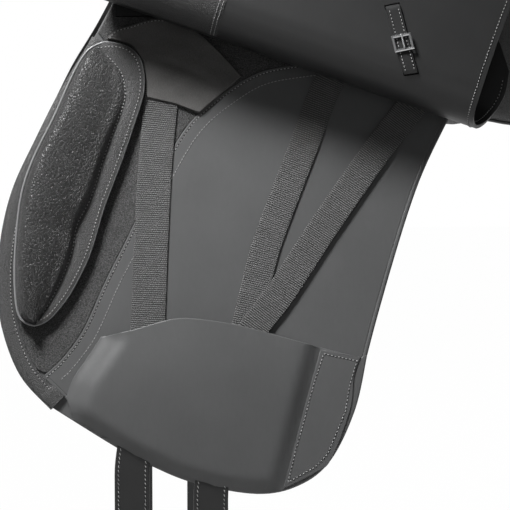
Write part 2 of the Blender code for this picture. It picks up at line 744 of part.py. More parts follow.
def make_flap_leaf(side):
    """The large loose part of the outer flap, with slots for the keeper strap."""
    frames = flap_frames(side)
    base, along, across, out = frames[2]
    outline, start = leaf_outline()

    def mapping(a, q, n):
        return base + along * a + across * (q - BEND_LENGTH) + out * n

    half = FLAP_THICK / 2.0
    bm = plate_mesh(mapping, outline, -half, half)
    leaf = finished(f"{side}_flap", bm, "smooth_leather", origin=base)
    front_a, rear_a = outline[0].x, outline[-1].x
    rod = bmesh.new()
    rings = []
    for a in (front_a, rear_a):
        row = []
        for k in range(10):
            angle = 2.0 * math.pi * k / 10
            row.append(rod.verts.new(mapping(a, start + half * math.cos(angle), half * math.sin(angle))))
        rings.append(row)
    bridge_rings(rod, rings)
    boolean(leaf, cutter(f"{side}_flap_edge_rod", rod), "UNION")
    for at in (0.0, KEEPER_REACH):
        slot = bmesh.new()
        wide = KEEPER_WIDTH / 2.0 + GAP
        tall = KEEPER_THICK / 2.0 + GAP
        corners = [(at + j * tall, i * wide, k * FLAP_THICK)
                   for k in (-1, 1) for i, j in ((-1, -1), (1, -1), (1, 1), (-1, 1))]
        verts = [slot.verts.new(keeper_point(side, *corner)) for corner in corners]
        bridge_rings(slot, [verts[:4], verts[4:]])
        boolean(leaf, cutter(f"{side}_keeper_slot_{round(at / MM)}", slot))
    return leaf


def flap_root_outline():
    """Plan of the flap above its first hinge line."""
    ends = [to_plan(Vector((a, 0.0))) for a in fold_width(0.0)]
    return ends + ROOT_TOP


def to_plan(q):
    """Fold coordinates back to the flat plan."""
    along = Vector((math.cos(FOLD_TILT), -math.sin(FOLD_TILT)))
    across = Vector((-math.sin(FOLD_TILT), -math.cos(FOLD_TILT)))
    return along * q.x + across * q.y + Vector((0.0, FOLD_HEIGHT))


def make_flap_root(side):
    """The part of the outer flap that stays nailed to the tree, with a round lower edge."""
    outline = flap_root_outline()
    bm = side_plate(side, outline, FLAP_LOW, FLAP_TOP)
    root = finished(f"{side}_flap_root", bm, "smooth_leather")
    base, along, across, out = flap_frames(side)[0]
    rod = bmesh.new()
    rings = []
    for a in fold_width(0.0):
        row = []
        for k in range(10):
            angle = 2.0 * math.pi * k / 10
            radius = FLAP_THICK / 2.0
            point = base + along * a + across * radius * math.cos(angle) + out * radius * math.sin(angle)
            row.append(rod.verts.new(point))
        rings.append(row)
    bridge_rings(rod, rings)
    boolean(root, cutter(f"{side}_root_edge_rod", rod), "UNION")
    return root


def keeper_point(side, s, w, n):
    """A point by distance up the keeper strap, across it and out of the flap's middle."""
    base, along, across, out = flap_frames(side)[2]
    a0, q0 = KEEPER_LOW_SLOT
    a = a0 - s * math.sin(KEEPER_SLANT) + w * math.cos(KEEPER_SLANT)
    q = q0 + s * math.cos(KEEPER_SLANT) + w * math.sin(KEEPER_SLANT)
    return base + along * a + across * (q - BEND_LENGTH) + out * n


def swept_loop(bm, points, radius, sides, across_axis, closed=True):
    """A round wire along points that lie in a plane square to across_axis."""
    count = len(points)
    rings = []
    for i, p in enumerate(points):
        ahead = points[(i + 1) % count] if closed else points[min(i + 1, count - 1)]
        behind = points[i - 1] if closed or i else points[0]
        before = (p - behind).normalized() if (p - behind).length > 1e-9 else (ahead - p).normalized()
        after = (ahead - p).normalized() if (ahead - p).length > 1e-9 else before
        along = (before + after).normalized()
        stretch = 1.0 / max(0.5, along.dot(after))
        sideways = along.cross(across_axis).normalized()
        row = []
        for k in range(sides):
            a = 2.0 * math.pi * (k + 0.5) / sides
            offset = sideways * (math.cos(a) * radius * stretch) + across_axis * (math.sin(a) * radius)
            row.append(bm.verts.new(p + offset))
        rings.append(row)
    if closed:
        bridge_rings(bm, rings + [rings[0]], caps=False)
    else:
        bridge_rings(bm, rings)


def make_keeper(side):
    """Strap, buckle and tongue on the inner face of the outer flap."""
    base = flap_frames(side)[2][0]
    half = FLAP_THICK / 2.0
    inner = half + GAP
    low, high = -inner - KEEPER_THICK, half + KEEPER_LOOP_HEIGHT + KEEPER_THICK
    t = KEEPER_THICK / 2.0
    outer_ring = ((-t, low), (KEEPER_REACH + t, low), (KEEPER_REACH + t, high), (-t, high))
    inner_ring = ((t, -inner), (KEEPER_REACH - t, -inner),
                  (KEEPER_REACH - t, high - KEEPER_THICK), (t, high - KEEPER_THICK))
    bm = bmesh.new()
    rings = []
    for s_n, w in ((outer_ring, -1), (outer_ring, 1), (inner_ring, 1), (inner_ring, -1)):
        rings.append([bm.verts.new(keeper_point(side, s, w * KEEPER_WIDTH / 2.0, n)) for s, n in s_n])
    bridge_rings(bm, rings + [rings[0]], caps=False)
    finished(f"{side}_keeper_strap", bm, "smooth_leather", origin=base)

    axis = (keeper_point(side, 1.0, 0.0, 0.0) - keeper_point(side, 0.0, 0.0, 0.0)).normalized()
    across = (keeper_point(side, 0.0, 1.0, 0.0) - keeper_point(side, 0.0, 0.0, 0.0)).normalized()
    normal = axis.cross(across).normalized()
    level = low - GAP - BUCKLE_WIRE
    wide = KEEPER_WIDTH / 2.0 + BUCKLE_WIRE
    frame = [keeper_point(side, BUCKLE_AT + i * BUCKLE_LENGTH / 2.0, j * wide, level)
             for i, j in ((-1, -1), (1, -1), (1, 1), (-1, 1))]
    ringed = bmesh.new()
    swept_loop(ringed, frame, BUCKLE_WIRE, 8, normal)
    finished(f"{side}_keeper_buckle", ringed, "steel", origin=base, smooth=True)

    top = level - BUCKLE_WIRE - GAP - TONGUE_WIRE
    pivot = keeper_point(side, BUCKLE_AT - BUCKLE_LENGTH / 2.0, 0.0, level)
    ends = [keeper_point(side, BUCKLE_AT + i * BUCKLE_LENGTH / 2.0 + TONGUE_AHEAD, 0.0, top) for i in (-1, 1)]
    tongue = bmesh.new()
    swept_loop(tongue, ends, TONGUE_WIRE, 6, normal, closed=False)
    finished(f"{side}_keeper_tongue", tongue, "steel", origin=pivot, smooth=True)


# Seat, tree and what lies under them

def table_value(rows, x, column):
    """A smooth value at x from a table in millimetres whose first column is x."""
    at = x / MM
    i = 0
    while i < len(rows) - 2 and at > rows[i + 1][0]:
        i += 1
    x1, x2 = rows[i][0], rows[i + 1][0]
    y1, y2 = rows[i][column], rows[i + 1][column]
    prev = rows[max(i - 1, 0)]
    after = rows[min(i + 2, len(rows) - 1)]
    m1 = (y2 - prev[column]) / (x2 - prev[0]) * (x2 - x1)
    m2 = (after[column] - y1) / (after[0] - x1) * (x2 - x1)
    t = min(1.0, max(0.0, (at - x1) / (x2 - x1)))
    value = ((2 * t ** 3 - 3 * t ** 2 + 1) * y1 + (t ** 3 - 2 * t ** 2 + t) * m1
             + (3 * t ** 2 - 2 * t ** 3) * y2 + (t ** 3 - t ** 2) * m2)
    return value * MM


def seat_half_width(x):
    """Half the width of the seat at x."""
    return table_value(SEAT_STATIONS, x, 1)


def seat_height(x, y):
    """Height of the seat's top surface."""
    share = min(1.0, abs(y) / seat_half_width(x))
    return table_value(SEAT_STATIONS, x, 2) - table_value(SEAT_STATIONS, x, 3) * share ** 3


def tree_underside(x, y):
    """Height of the tree's lower face."""
    return seat_height(x, y) - SEAT_COVER_THICK - FOAM_THICK - TREE_THICK - 2.0 * GAP


def seat_rows():
    """Stations along the seat, closer together at its two ends."""
    first, last = SEAT_SPAN
    shares = [math.cos(math.pi * (0.08 + 0.84 * k / SEAT_ROWS)) for k in range(SEAT_ROWS + 1)]
    return [first + (last - first) * (shares[0] - c) / (shares[0] - shares[-1]) for c in shares]


def seat_layer(rows_off, columns_kept, top_drop, bottom_drop):
    """A closed shell on the seat's own grid: the cover, the foam or the tree."""
    bm = bmesh.new()
    half = SEAT_COLUMNS[:columns_kept]
    columns = [-w for w in half[:0:-1]] + list(half)
    xs = seat_rows()
    xs = xs[rows_off[0]:len(xs) - rows_off[1]]
    rings = []
    for x in xs:
        width = seat_half_width(x)
        upper = []
        lower = []
        for w in columns:
            z = seat_height(x, w * width)
            upper.append(bm.verts.new((x, w * width, z - top_drop)))
            lower.append(bm.verts.new((x, w * width, z - bottom_drop)))
        rings.append(upper + lower[::-1])
    bridge_rings(bm, rings, caps=False)
    count = len(columns)
    for row in (rings[0], rings[-1]):
        for k in range(count - 1):
            bm.faces.new((row[k], row[k + 1], row[2 * count - 2 - k], row[2 * count - 1 - k]))
    bmesh.ops.triangulate(bm, faces=bm.faces[:])
    return bm


def make_seat():
    """Cover, foam and the wooden tree with its long slot, stacked with small gaps."""
    foam_top = SEAT_COVER_THICK + GAP
    tree_top = foam_top + FOAM_THICK + GAP
    cover = seat_layer((0, 0), len(SEAT_COLUMNS), 0.0, SEAT_COVER_THICK)
    finished("seat_cover", cover, "smooth_leather", smooth=True)
    foam = seat_layer(FOAM_ROWS, FOAM_COLUMNS, foam_top, foam_top + FOAM_THICK)
    finished("seat_foam", foam, "foam", smooth=True)
    tree = seat_layer(TREE_ROWS, TREE_COLUMNS, tree_top, tree_top + TREE_THICK)
    tree = finished("tree", tree, "wood", smooth=True)
    slot = bmesh.new()
    first, last = TREE_SLOT_SPAN
    outline = []
    for centre, start in ((last - TREE_SLOT_HALF, -90.0), (first + TREE_SLOT_HALF, 90.0)):
        for k in range(9):
            a = math.radians(start + 180.0 * k / 8)
            outline.append((centre + TREE_SLOT_HALF * math.cos(a), TREE_SLOT_HALF * math.sin(a)))
    rings = [[slot.verts.new((x, y, z)) for x, y in outline] for z in (0.0, 0.2)]
    bridge_rings(slot, rings)
    boolean(tree, cutter("tree_slot", slot))
    return tree


def make_seat_webbing():
    """Two webs along the slot of the tree, sewn to one across it, nailed under the tree."""
    first, last = TREE_SLOT_SPAN[0] - 20.0 * MM, TREE_SLOT_SPAN[1] + 20.0 * MM
    inner, outer = 4.0 * MM, 24.0 * MM

    def strip(low_y, high_y, xs, thick):
        bm = bmesh.new()
        rings = []
        for x in xs:
            top = tree_underside(x, outer) - 0.7 * MM
            rings.append([bm.verts.new(c) for c in ((x, low_y, top), (x, high_y, top),
                                                    (x, high_y, top - thick), (x, low_y, top - thick))])
        bridge_rings(bm, rings)
        return bm

    xs = [first + (last - first) * k / 12 for k in range(13)]
    webbing = finished("seat_webbing", strip(inner, outer, xs, WEB_THICK), "webbing")
    boolean(webbing, cutter("second_web", strip(-outer, -inner, xs, WEB_THICK)), "UNION")
    middle = strip(-inner - 2.0 * MM, inner + 2.0 * MM, [30.0 * MM, 54.0 * MM], WEB_THICK * 1.2)
    boolean(webbing, cutter("cross_web", middle), "UNION")
    return webbing


ARCH_SPAN = (-170.0 * MM, -132.0 * MM)
ARCH_THICK = 3.6 * MM
ARCH_TREE_GAP = 1.4 * MM
ARCH_LEG_END = 10.0 * MM
SCREW_PLACES = (16.0 * MM, -16.0 * MM)
RIVET_PLACES = ((-152.0 * MM, 47.0 * MM), (-138.0 * MM, 47.0 * MM))


def arch_top(y):
    """The highest the gullet plate may reach under the tree."""
    first, last = ARCH_SPAN
    return min(tree_underside(first + (last - first) * k / 6, y) for k in range(7)) - ARCH_TREE_GAP


def arch_path():
    """Outer and inner points of the gullet plate from its crown down one leg."""
    crown = [(y * MM, arch_top(y * MM)) for y in (0.0, 20.0, 40.0, 56.0, 70.0)]
    inner = [(y, z - ARCH_THICK) for y, z in crown]
    outer = list(crown)
    for v in (FLAT_TOP + 2.0 * MM, 30.0 * MM, ARCH_LEG_END):
        low = place("off", 0.0, v, STRAP_LOW)
        high = place("off", 0.0, v, STRAP_LOW + ARCH_THICK)
        inner.append((low.y, low.z))
        outer.append((high.y, high.z))
    return outer, inner


def cylinder(bm, foot, head, radius, sides=10):
    """A closed round bar between two points."""
    along = head - foot
    turn = along.to_track_quat("Z", "Y").to_matrix().to_4x4()
    middle = Matrix.Translation((foot + head) / 2.0) @ turn
    bmesh.ops.create_cone(bm, cap_ends=True, segments=sides, radius1=radius, radius2=radius,
                          depth=along.length, matrix=middle)


def make_gullet_plate():
    """A steel arch under the head of the tree, with a leg down each side and two screw heads."""
    outer, inner = arch_path()
    outer = [(-y, z) for y, z in outer[:0:-1]] + outer
    inner = [(-y, z) for y, z in inner[:0:-1]] + inner
    bm = bmesh.new()
    rings = []
    for (oy, oz), (iy, iz) in zip(outer, inner):
        row = [bm.verts.new((x, y, z)) for x, y, z in
               ((ARCH_SPAN[0], oy, oz), (ARCH_SPAN[1], oy, oz), (ARCH_SPAN[1], iy, iz), (ARCH_SPAN[0], iy, iz))]
        rings.append(row)
    bridge_rings(bm, rings)
    plate = finished("gullet_plate", bm, "plate_steel")
    x = sum(ARCH_SPAN) / 2.0
    radius, tall = SCREW_HEAD
    for i, y in enumerate(SCREW_PLACES):
        seat = arch_top(y) - ARCH_THICK / 2.0
        profile = ((0.0, 0.0), (radius, 0.0), (radius, ARCH_THICK / 2.0 + tall * 0.5),
                   (radius * 0.7, ARCH_THICK / 2.0 + tall), (0.0, ARCH_THICK / 2.0 + tall))
        head = turned(profile, Vector((x, y, seat)), Vector((0.0, 0.0, -1.0)))
        boolean(plate, cutter(f"gullet_screw_{i}", head), "UNION")
    return plate


SCREW_HEAD = (4.0 * MM, 2.4 * MM)
RIVET_HEAD = (3.8 * MM, 1.8 * MM)
BAR_PLATE_THICK = 3.0 * MM
BAR_PLATE_LOW = POINT_POCKET_TOP + GAP
BAR_PLATE_TOP = BAR_PLATE_LOW + BAR_PLATE_THICK
BAR_RADIUS = 4.2 * MM
BAR_OUT = BAR_PLATE_TOP + 10.6 * MM
BAR_V = 44.0 * MM
BAR_FRONT = -153.0 * MM
BAR_REAR = -80.0 * MM
CATCH_PIN_X = -86.0 * MM
CATCH_PIN_RADIUS = 1.4 * MM


def turned(profile, foot, axis, sides=12):
    """A turned solid: (radius, height) points from one end of its axis to the other."""
    bm = bmesh.new()
    turn = axis.to_track_quat("Z", "Y").to_matrix()
    rows = []
    for radius, height in profile:
        if radius <= 0.0:
            rows.append([bm.verts.new(foot + axis * height)])
            continue
        row = []
        for k in range(sides):
            a = 2.0 * math.pi * k / sides
            row.append(bm.verts.new(foot + turn @ Vector((radius * math.cos(a), radius * math.sin(a), height))))
        rows.append(row)
    for low, high in zip(rows, rows[1:]):
        for k in range(sides):
            j = (k + 1) % sides
            if len(low) == 1:
                bm.faces.new((low[0], high[j], high[k]))
            elif len(high) == 1:
                bm.faces.new((low[k], low[j], high[0]))
            else:
                bm.faces.new((low[k], low[j], high[j], high[k]))
    return bm


def make_stirrup_bar(side):
    """A forged bar on a riveted plate, open at its rear end, bored for the catch pin."""
    middle = BAR_V / MM
    plate = straight([(-158, middle - 7), (-104, middle - 7), (-104, middle + 13), (-158, middle + 13)])
    bm = side_plate(side, plate, BAR_PLATE_LOW, BAR_PLATE_TOP)
    bar = finished(f"{side}_stirrup_bar", bm, "plate_steel")
    rod = bmesh.new()
    cylinder(rod, place(side, BAR_FRONT, BAR_V, BAR_OUT), place(side, BAR_REAR, BAR_V, BAR_OUT), BAR_RADIUS, 12)
    boolean(bar, cutter(f"{side}_bar_rod", rod), "UNION")
    low, high = middle - 4.5, middle + 4.5
    neck = side_plate(side, straight([(-157.5, low), (-148, low), (-148, high), (-157.5, high)]),
                      BAR_PLATE_TOP - 1.0 * MM, BAR_OUT + BAR_RADIUS * 0.8)
    boolean(bar, cutter(f"{side}_bar_neck", neck), "UNION")
    radius, tall = RIVET_HEAD
    out = side_vectors(side)[1]
    for i, (x, v) in enumerate(RIVET_PLACES):
        profile = ((0.0, 0.0), (radius, 0.0), (radius, 1.0 * MM), (radius * 0.85, 1.0 * MM + tall * 0.6),
                   (radius * 0.45, 1.0 * MM + tall * 0.93), (0.0, 1.0 * MM + tall))
        dome = turned(profile, place(side, x, v, BAR_PLATE_TOP - 1.0 * MM), out)
        boolean(bar, cutter(f"{side}_bar_rivet_{i}", dome), "UNION")
    holes = bmesh.new()
    cylinder(holes, place(side, CATCH_PIN_X, BAR_V, BAR_OUT - 1.0 * MM),
             place(side, CATCH_PIN_X, BAR_V, BAR_OUT + BAR_RADIUS * 2.0), CATCH_PIN_RADIUS + GAP)
    boolean(bar, cutter(f"{side}_bar_holes", holes))
    return bar


def make_bar_catch(side):
    """The thumb catch that shuts the open end of the bar, turning on its own pin."""
    low = BAR_OUT + BAR_RADIUS + GAP
    middle = BAR_V / MM
    lever = straight([(-90, middle - 3), (-82, middle - 4), (-72, middle - 2.5), (-70, middle),
                      (-72, middle + 2.5), (-82, middle + 4), (-90, middle + 3)])
    bm = side_plate(side, lever, low, low + 2.4 * MM)
    pivot = place(side, CATCH_PIN_X, BAR_V, low)
    catch = finished(f"{side}_bar_catch", bm, "plate_steel", origin=pivot)
    pin = bmesh.new()
    cylinder(pin, place(side, CATCH_PIN_X, BAR_V, BAR_OUT), place(side, CATCH_PIN_X, BAR_V, low + 1.0 * MM),
             CATCH_PIN_RADIUS)
    boolean(catch, cutter(f"{side}_catch_pin", pin), "UNION")
    return catch


SKIRT_LOW = FLAP_TOP + GAP
SKIRT_BULGE = 22.0 * MM
SKIRT_BULGE_AT = (-112.0, 44.0)
SKIRT_BULGE_SIZE = (76.0, 50.0)
NAIL_PLACES = ((-140.0 * MM, 80.0 * MM), (76.0 * MM, 34.0 * MM))
SKIRT_OUTLINE_TOP = [(84, 44), (30, 52), (-20, 56), (-70, 68), (-120, 86), (-172, 100)]


def skirt_low(x, v):
    """Height of the skirt's inner face: raised over the stirrup bar."""
    dx = (x / MM - SKIRT_BULGE_AT[0]) / SKIRT_BULGE_SIZE[0]
    dv = (v / MM - SKIRT_BULGE_AT[1]) / SKIRT_BULGE_SIZE[1]
    away = min(1.0, math.sqrt(dx * dx + dv * dv))
    rise = min(1.0, (1.0 - away) * 1.6)
    return SKIRT_LOW + SKIRT_BULGE * rise * rise * (3.0 - 2.0 * rise)


def skirt_top(x, v):
    """Height of the skirt's outer face over the plan."""
    return skirt_low(x, v) + SKIRT_THICK


def make_skirt(side):
    """The leather that covers the stirrup bar, below the edge of the seat."""
    top = spline(SKIRT_OUTLINE_TOP, 2)
    low = spline([(-172, 100), (-181, 76), (-178, 52), (-160, 30), (-120, 12), (-60, -6), (0, -22),
                  (44, -30), (78, -26), (94, -4), (93, 24), (84, 44)], 2)
    outline = ring(top, low)
    bm = side_plate(side, outline, skirt_low, skirt_top, steps(-180 * MM, 96 * MM, 17),
                    steps(-30 * MM, 100 * MM, 9))
    skirt = finished(f"{side}_skirt", bm, "smooth_leather", smooth=True)
    for i, (x, v) in enumerate(NAIL_PLACES):
        foot = place(side, x, v, skirt_top(x, v) - 1.2 * MM)
        out = (place(side, x, v, 1.0) - place(side, x, v, 0.0)).normalized()
        profile = ((0.0, 0.0), (4.0 * MM, 0.0), (4.0 * MM, 1.2 * MM), (3.2 * MM, 2.6 * MM),
                   (1.7 * MM, 3.4 * MM), (0.0, 3.6 * MM))
        boolean(skirt, cutter(f"{side}_nail_{i}", turned(profile, foot, out)), "UNION")
    return skirt


# Panels: stations of x, lowest v on the side, outer shoulder and bearing face

PANEL_STATIONS = (
    (-170.0, -34.0, 24.0),
    (-164.0, -86.0, 20.0),
    (-148.0, -114.0, 19.0),
    (-125.0, -124.0, 22.0),
    (-112.0, -118.0, 24.0),
    (-80.0, -92.0, 32.0),
    (-40.0, -70.0, 40.0),
    (0.0, -60.0, 45.0),
    (50.0, -60.0, 48.0),
    (90.0, -66.0, 50.0),
    (114.0, -70.0, 50.0),
)
CHANNEL_HALF = 33.0 * MM
PANEL_TREE_GAP = 2.0 * MM
REAR_PANEL = (
    (138.0, 146.0, 40.0, -74.0, 1.0),
    (170.0, 141.0, 44.0, -78.0, 1.0),
    (205.0, 129.0, 46.0, -74.0, 0.9),
    (236.0, 108.0, 44.0, -58.0, 0.35),
    (256.0, 86.0, 42.0, -32.0, 0.16),
    (268.0, 64.0, 34.0, 0.0, 0.10),
)
REAR_PANEL_ROWS = 10


def panel_top(x, y):
    """The panel lies under the tree, and under the gullet plate at the front."""
    rows = seat_rows()
    at = min(max(x, rows[TREE_ROWS[0]]), rows[-1 - TREE_ROWS[1]])
    under = tree_underside(at, min(y, SEAT_COLUMNS[TREE_COLUMNS - 1] * seat_half_width(at)))
    if x < ARCH_SPAN[1] + 9.0 * MM:
        return min(under - PANEL_TREE_GAP, arch_top(y) - ARCH_THICK - PANEL_TREE_GAP)
    return under - PANEL_TREE_GAP


def front_section(x, low_v, thick):
    """Section of the panel where the sweat flap lies over it, as (y, z) points."""
    skin = -PANEL_SKIN_GAP
    shoulder = 70.0 * MM
    points = [(CHANNEL_HALF, panel_top(x, CHANNEL_HALF)), (52.0 * MM, panel_top(x, 52.0 * MM)),
              (shoulder, panel_top(x, shoulder))]
    for v in (FLAT_TOP - 5.0 * MM, FLAT_TOP * 0.3, low_v * 0.6, low_v):
        p = place("off", x, v, skin)
        points.append((p.y, p.z))
    foot = place("off", x, low_v - 5.0 * MM, -thick * MM * 0.5)
    points.append((foot.y, foot.z))
    for v, depth in ((low_v + 12.0 * MM, thick * MM), (low_v * 0.35, thick * MM + 12.0 * MM)):
        p = place("off", x, v, -depth)
        points.append((p.y, p.z))
    inner_low = min(panel_top(x, CHANNEL_HALF) - 36.0 * MM, 26.0 * MM)
    points.append((56.0 * MM, inner_low - 9.0 * MM))
    points.append((CHANNEL_HALF + 4.0 * MM, inner_low - 2.0 * MM))
    points.append((CHANNEL_HALF, inner_low + 6.0 * MM))
    return points


def rear_section(x, outer, shoulder_z, low_z, fill):
    """Section of the gusseted rear of the panel."""
    fill /= MM
    top = min(panel_top(x, CHANNEL_HALF), shoulder_z + 52.0 * MM * fill)
    tall = shoulder_z - low_z
    mid = (CHANNEL_HALF + outer) / 2.0
    return [(CHANNEL_HALF, top), (CHANNEL_HALF + (outer - CHANNEL_HALF) * 0.3, top - 3.0 * MM),
            (CHANNEL_HALF + (outer - CHANNEL_HALF) * 0.6, top * 0.4 + shoulder_z * 0.6),
            (outer - 4.0 * MM, shoulder_z), (outer, shoulder_z - tall * 0.12),
            (outer + 2.0 * MM, shoulder_z - tall * 0.5), (outer, low_z + tall * 0.14),
            (outer - 9.0 * MM, low_z), (mid + 18.0 * MM, low_z + 1.0 * MM),
            (mid - 6.0 * MM, low_z + 13.0 * MM), (CHANNEL_HALF + 14.0 * MM, low_z + 34.0 * MM * fill),
            (CHANNEL_HALF + 3.0 * MM, low_z + 44.0 * MM * fill), (CHANNEL_HALF, low_z + 54.0 * MM * fill)]


def make_panel(side):
    """A stuffed panel from the points at the front to the gusset at the rear."""
    s = SIDES[side]
    sections = []
    for x, low_v, thick in PANEL_STATIONS:
        sections.append((x * MM, front_section(x * MM, low_v * MM, thick)))
    first, last = REAR_PANEL[0][0] * MM, REAR_PANEL[-1][0] * MM
    for k in range(REAR_PANEL_ROWS):
        x = first + (last - first) * math.sin(math.pi / 2.0 * k / (REAR_PANEL_ROWS - 1))
        values = [table_value(REAR_PANEL, x, column) for column in range(1, 5)]
        sections.append((x, rear_section(x, *values)))
    bm = bmesh.new()
    rings = [[bm.verts.new((x, s * y, z)) for y, z in section] for x, section in sections]
    bridge_rings(bm, rings)
    bmesh.ops.triangulate(bm, faces=bm.faces[:])
    return finished(f"{side}_panel", bm, "panel_leather", smooth=True)


# Cantle, pommel and small fittings

CANTLE_FROM = 104.0 * MM
FACING_WALL = 2.4 * MM
FACING_INSET = 3.0 * MM
CANTLE_ROLL_RADIUS = 4.0 * MM


def cantle_path(outward):
    """Plan path round the back of the seat edge, from near side to off side."""
    xs = [x for x in seat_rows() if x > CANTLE_FROM]
    half = [(x, seat_half_width(x)) for x in xs]
    side_points = [Vector((x, w)) for x, w in half]
    whole = [Vector((p.x, -p.y)) for p in side_points] + side_points[::-1]
    moved = []
    for i, p in enumerate(whole):
        normal = left_normal(whole, i)
        moved.append((p - normal * outward, seat_height(p.x, p.y)))
    return moved


def make_cantle_facing():
    """A leather wall between the seat's rear edge and the panels."""
    outer = cantle_path(-FACING_INSET)
    inner = cantle_path(-FACING_INSET - FACING_WALL)
    bm = bmesh.new()
    rings = []
    count = len(outer)
    for i in range(count):
        (po, z), (pi, _) = outer[i], inner[i]
        top = z - SEAT_COVER_THICK - 5.0 * GAP
        foot = 60.0 * MM + 4.0 * MM * math.sin(math.pi * i / (count - 1)) ** 2
        narrow = 0.965
        row = [bm.verts.new(c) for c in ((po.x, po.y, top), (pi.x, pi.y, top),
                                         (pi.x, pi.y * narrow, foot), (po.x, po.y * narrow, foot))]
        rings.append(row)
    bridge_rings(bm, rings)
    return finished("cantle_facing", bm, "grain_leather", smooth=True)


def make_cantle_roll():
    """A piped roll round the rear edge of the seat."""
    bm = bmesh.new()
    rings = []
    path = cantle_path(CANTLE_ROLL_RADIUS + 2.0 * GAP)
    count = len(path)
    for i, (p, z) in enumerate(path):
        ahead = Vector((*path[min(i + 1, count - 1)][0], path[min(i + 1, count - 1)][1]))
        behind = Vector((*path[max(i - 1, 0)][0], path[max(i - 1, 0)][1]))
        along = (ahead - behind).normalized()
        sideways = along.cross(Vector((0.0, 0.0, 1.0))).normalized()
        up = sideways.cross(along).normalized()
        centre = Vector((p.x, p.y, z - SEAT_COVER_THICK / 2.0))
        row = []
        for k in range(8):
            a = 2.0 * math.pi * (k + 0.5) / 8
            row.append(bm.verts.new(centre + (sideways * math.cos(a) + up * math.sin(a)) * CANTLE_ROLL_RADIUS))
        rings.append(row)
    bridge_rings(bm, rings)
    return finished("cantle_roll", bm, "smooth_leather", smooth=True)


def make_pommel_facing():
    """The leather that closes the front of the head, arched over the gullet."""
    front = SEAT_SPAN[0] - GAP
    half = seat_half_width(SEAT_SPAN[0])
    outer = [(half * k / 4, seat_height(SEAT_SPAN[0], half * k / 4) - 1.0 * MM) for k in range(5)]
    outer += [(86.0 * MM, 97.0 * MM), (106.0 * MM, 72.0 * MM), (116.0 * MM, 44.0 * MM)]
    inner = [(0.0, 104.0), (15.0, 102.0), (29.0, 95.0), (40.0, 84.0), (50.0, 70.0), (68.0, 56.0),
             (86.0, 46.0), (100.0, 40.0)]
    bm = bmesh.new()
    loops = []
    for x in (front, front - 3.0 * MM):
        out_row = [bm.verts.new((x, s * y, z)) for s, y, z in mirrored(outer)]
        in_row = [bm.verts.new((x, s * y * MM, z * MM)) for s, y, z in mirrored(inner)]
        loops.append((out_row, in_row))
    (o1, i1), (o2, i2) = loops
    for k in range(len(o1) - 1):
        bm.faces.new((o1[k], o1[k + 1], i1[k + 1], i1[k]))
        bm.faces.new((o2[k], i2[k], i2[k + 1], o2[k + 1]))
        bm.faces.new((o1[k], o2[k], o2[k + 1], o1[k + 1]))
        bm.faces.new((i1[k], i1[k + 1], i2[k + 1], i2[k]))
    bm.faces.new((o1[0], i1[0], i2[0], o2[0]))
    bm.faces.new((o1[-1], o2[-1], i2[-1], i1[-1]))
    return finished("pommel_facing", bm, "grain_leather")


def mirrored(half_points):
    """Points of one half, first and last mirrored across the centre plane."""
    return [(-1.0, y, z) for y, z in half_points[:0:-1]] + [(1.0, y, z) for y, z in half_points]


DEE_X = -164.0 * MM
DEE_V = 84.0 * MM
DEE_WIRE = 1.7 * MM
DEE_RADIUS = 13.0 * MM
CHAPE_WIDTH = 13.0 * MM
CHAPE_LENGTH = 19.0 * MM
CHAPE_BORE = DEE_WIRE + 0.4 * MM
CHAPE_WALL = 1.6 * MM


def dee_frame(side):
    """Centre of the dee's bar, direction down the skirt and direction out of it."""
    ground = skirt_top(DEE_X, DEE_V + 4.0 * MM)
    centre = place(side, DEE_X, DEE_V, ground + CHAPE_BORE + CHAPE_WALL + 2.2 * MM)
    low_v = DEE_V - DEE_RADIUS - 3.0 * MM
    resting = skirt_top(DEE_X + 8.0 * MM, low_v) + DEE_WIRE + 2.0 * MM
    down = (place(side, DEE_X, low_v, resting) - centre).normalized()
    out = (place(side, DEE_X, DEE_V, 1.0) - place(side, DEE_X, DEE_V, 0.0)).normalized()
    return centre, down, out


def make_dee(side):
    """The dee ring and the leather chape that holds its bar."""
    centre, down, out = dee_frame(side)
    ahead = Vector((1.0, 0.0, 0.0))
    out = (out - down * out.dot(down)).normalized()
    path = [centre - ahead * DEE_RADIUS, centre + ahead * DEE_RADIUS]
    for k in range(1, 9):
        a = math.pi * k / 9
        path.append(centre + ahead * DEE_RADIUS * math.cos(a) + down * (DEE_RADIUS * math.sin(a) + 3.0 * MM))
    bm = bmesh.new()
    swept_loop(bm, path, DEE_WIRE, 8, out)
    finished(f"{side}_dee_ring", bm, "steel", origin=centre, smooth=True)
    chape = bmesh.new()
    rings = []
    outer_radius = CHAPE_BORE + CHAPE_WALL
    for radius, x in ((outer_radius, -0.5), (outer_radius, 0.5), (CHAPE_BORE, 0.5), (CHAPE_BORE, -0.5)):
        row = []
        for k in range(12):
            a = 2.0 * math.pi * k / 12
            row.append(chape.verts.new(centre + ahead * x * CHAPE_WIDTH
                                       + (down * math.cos(a) + out * math.sin(a)) * radius))
        rings.append(row)
    bridge_rings(chape, rings + [rings[0]], caps=False)
    loop = finished(f"{side}_dee_chape", chape, "grain_leather")
    tail = bmesh.new()
    rings = []
    for along in (CHAPE_BORE + 0.3 * MM, CHAPE_LENGTH):
        row = []
        for x, n in ((-0.5, -outer_radius), (0.5, -outer_radius), (0.5, -CHAPE_BORE * 0.7),
                     (-0.5, -CHAPE_BORE * 0.7)):
            row.append(tail.verts.new(centre - down * along + ahead * x * CHAPE_WIDTH + out * n))
        rings.append(row)
    bridge_rings(tail, rings)
    boolean(loop, cutter(f"{side}_chape_tail", tail), "UNION")


def fuse_hook_patch(side):
    """The hook patch is one piece with the block, under it."""
    boolean(bpy.data.objects[f"{side}_knee_block"], make_hook_patch(side), "UNION")


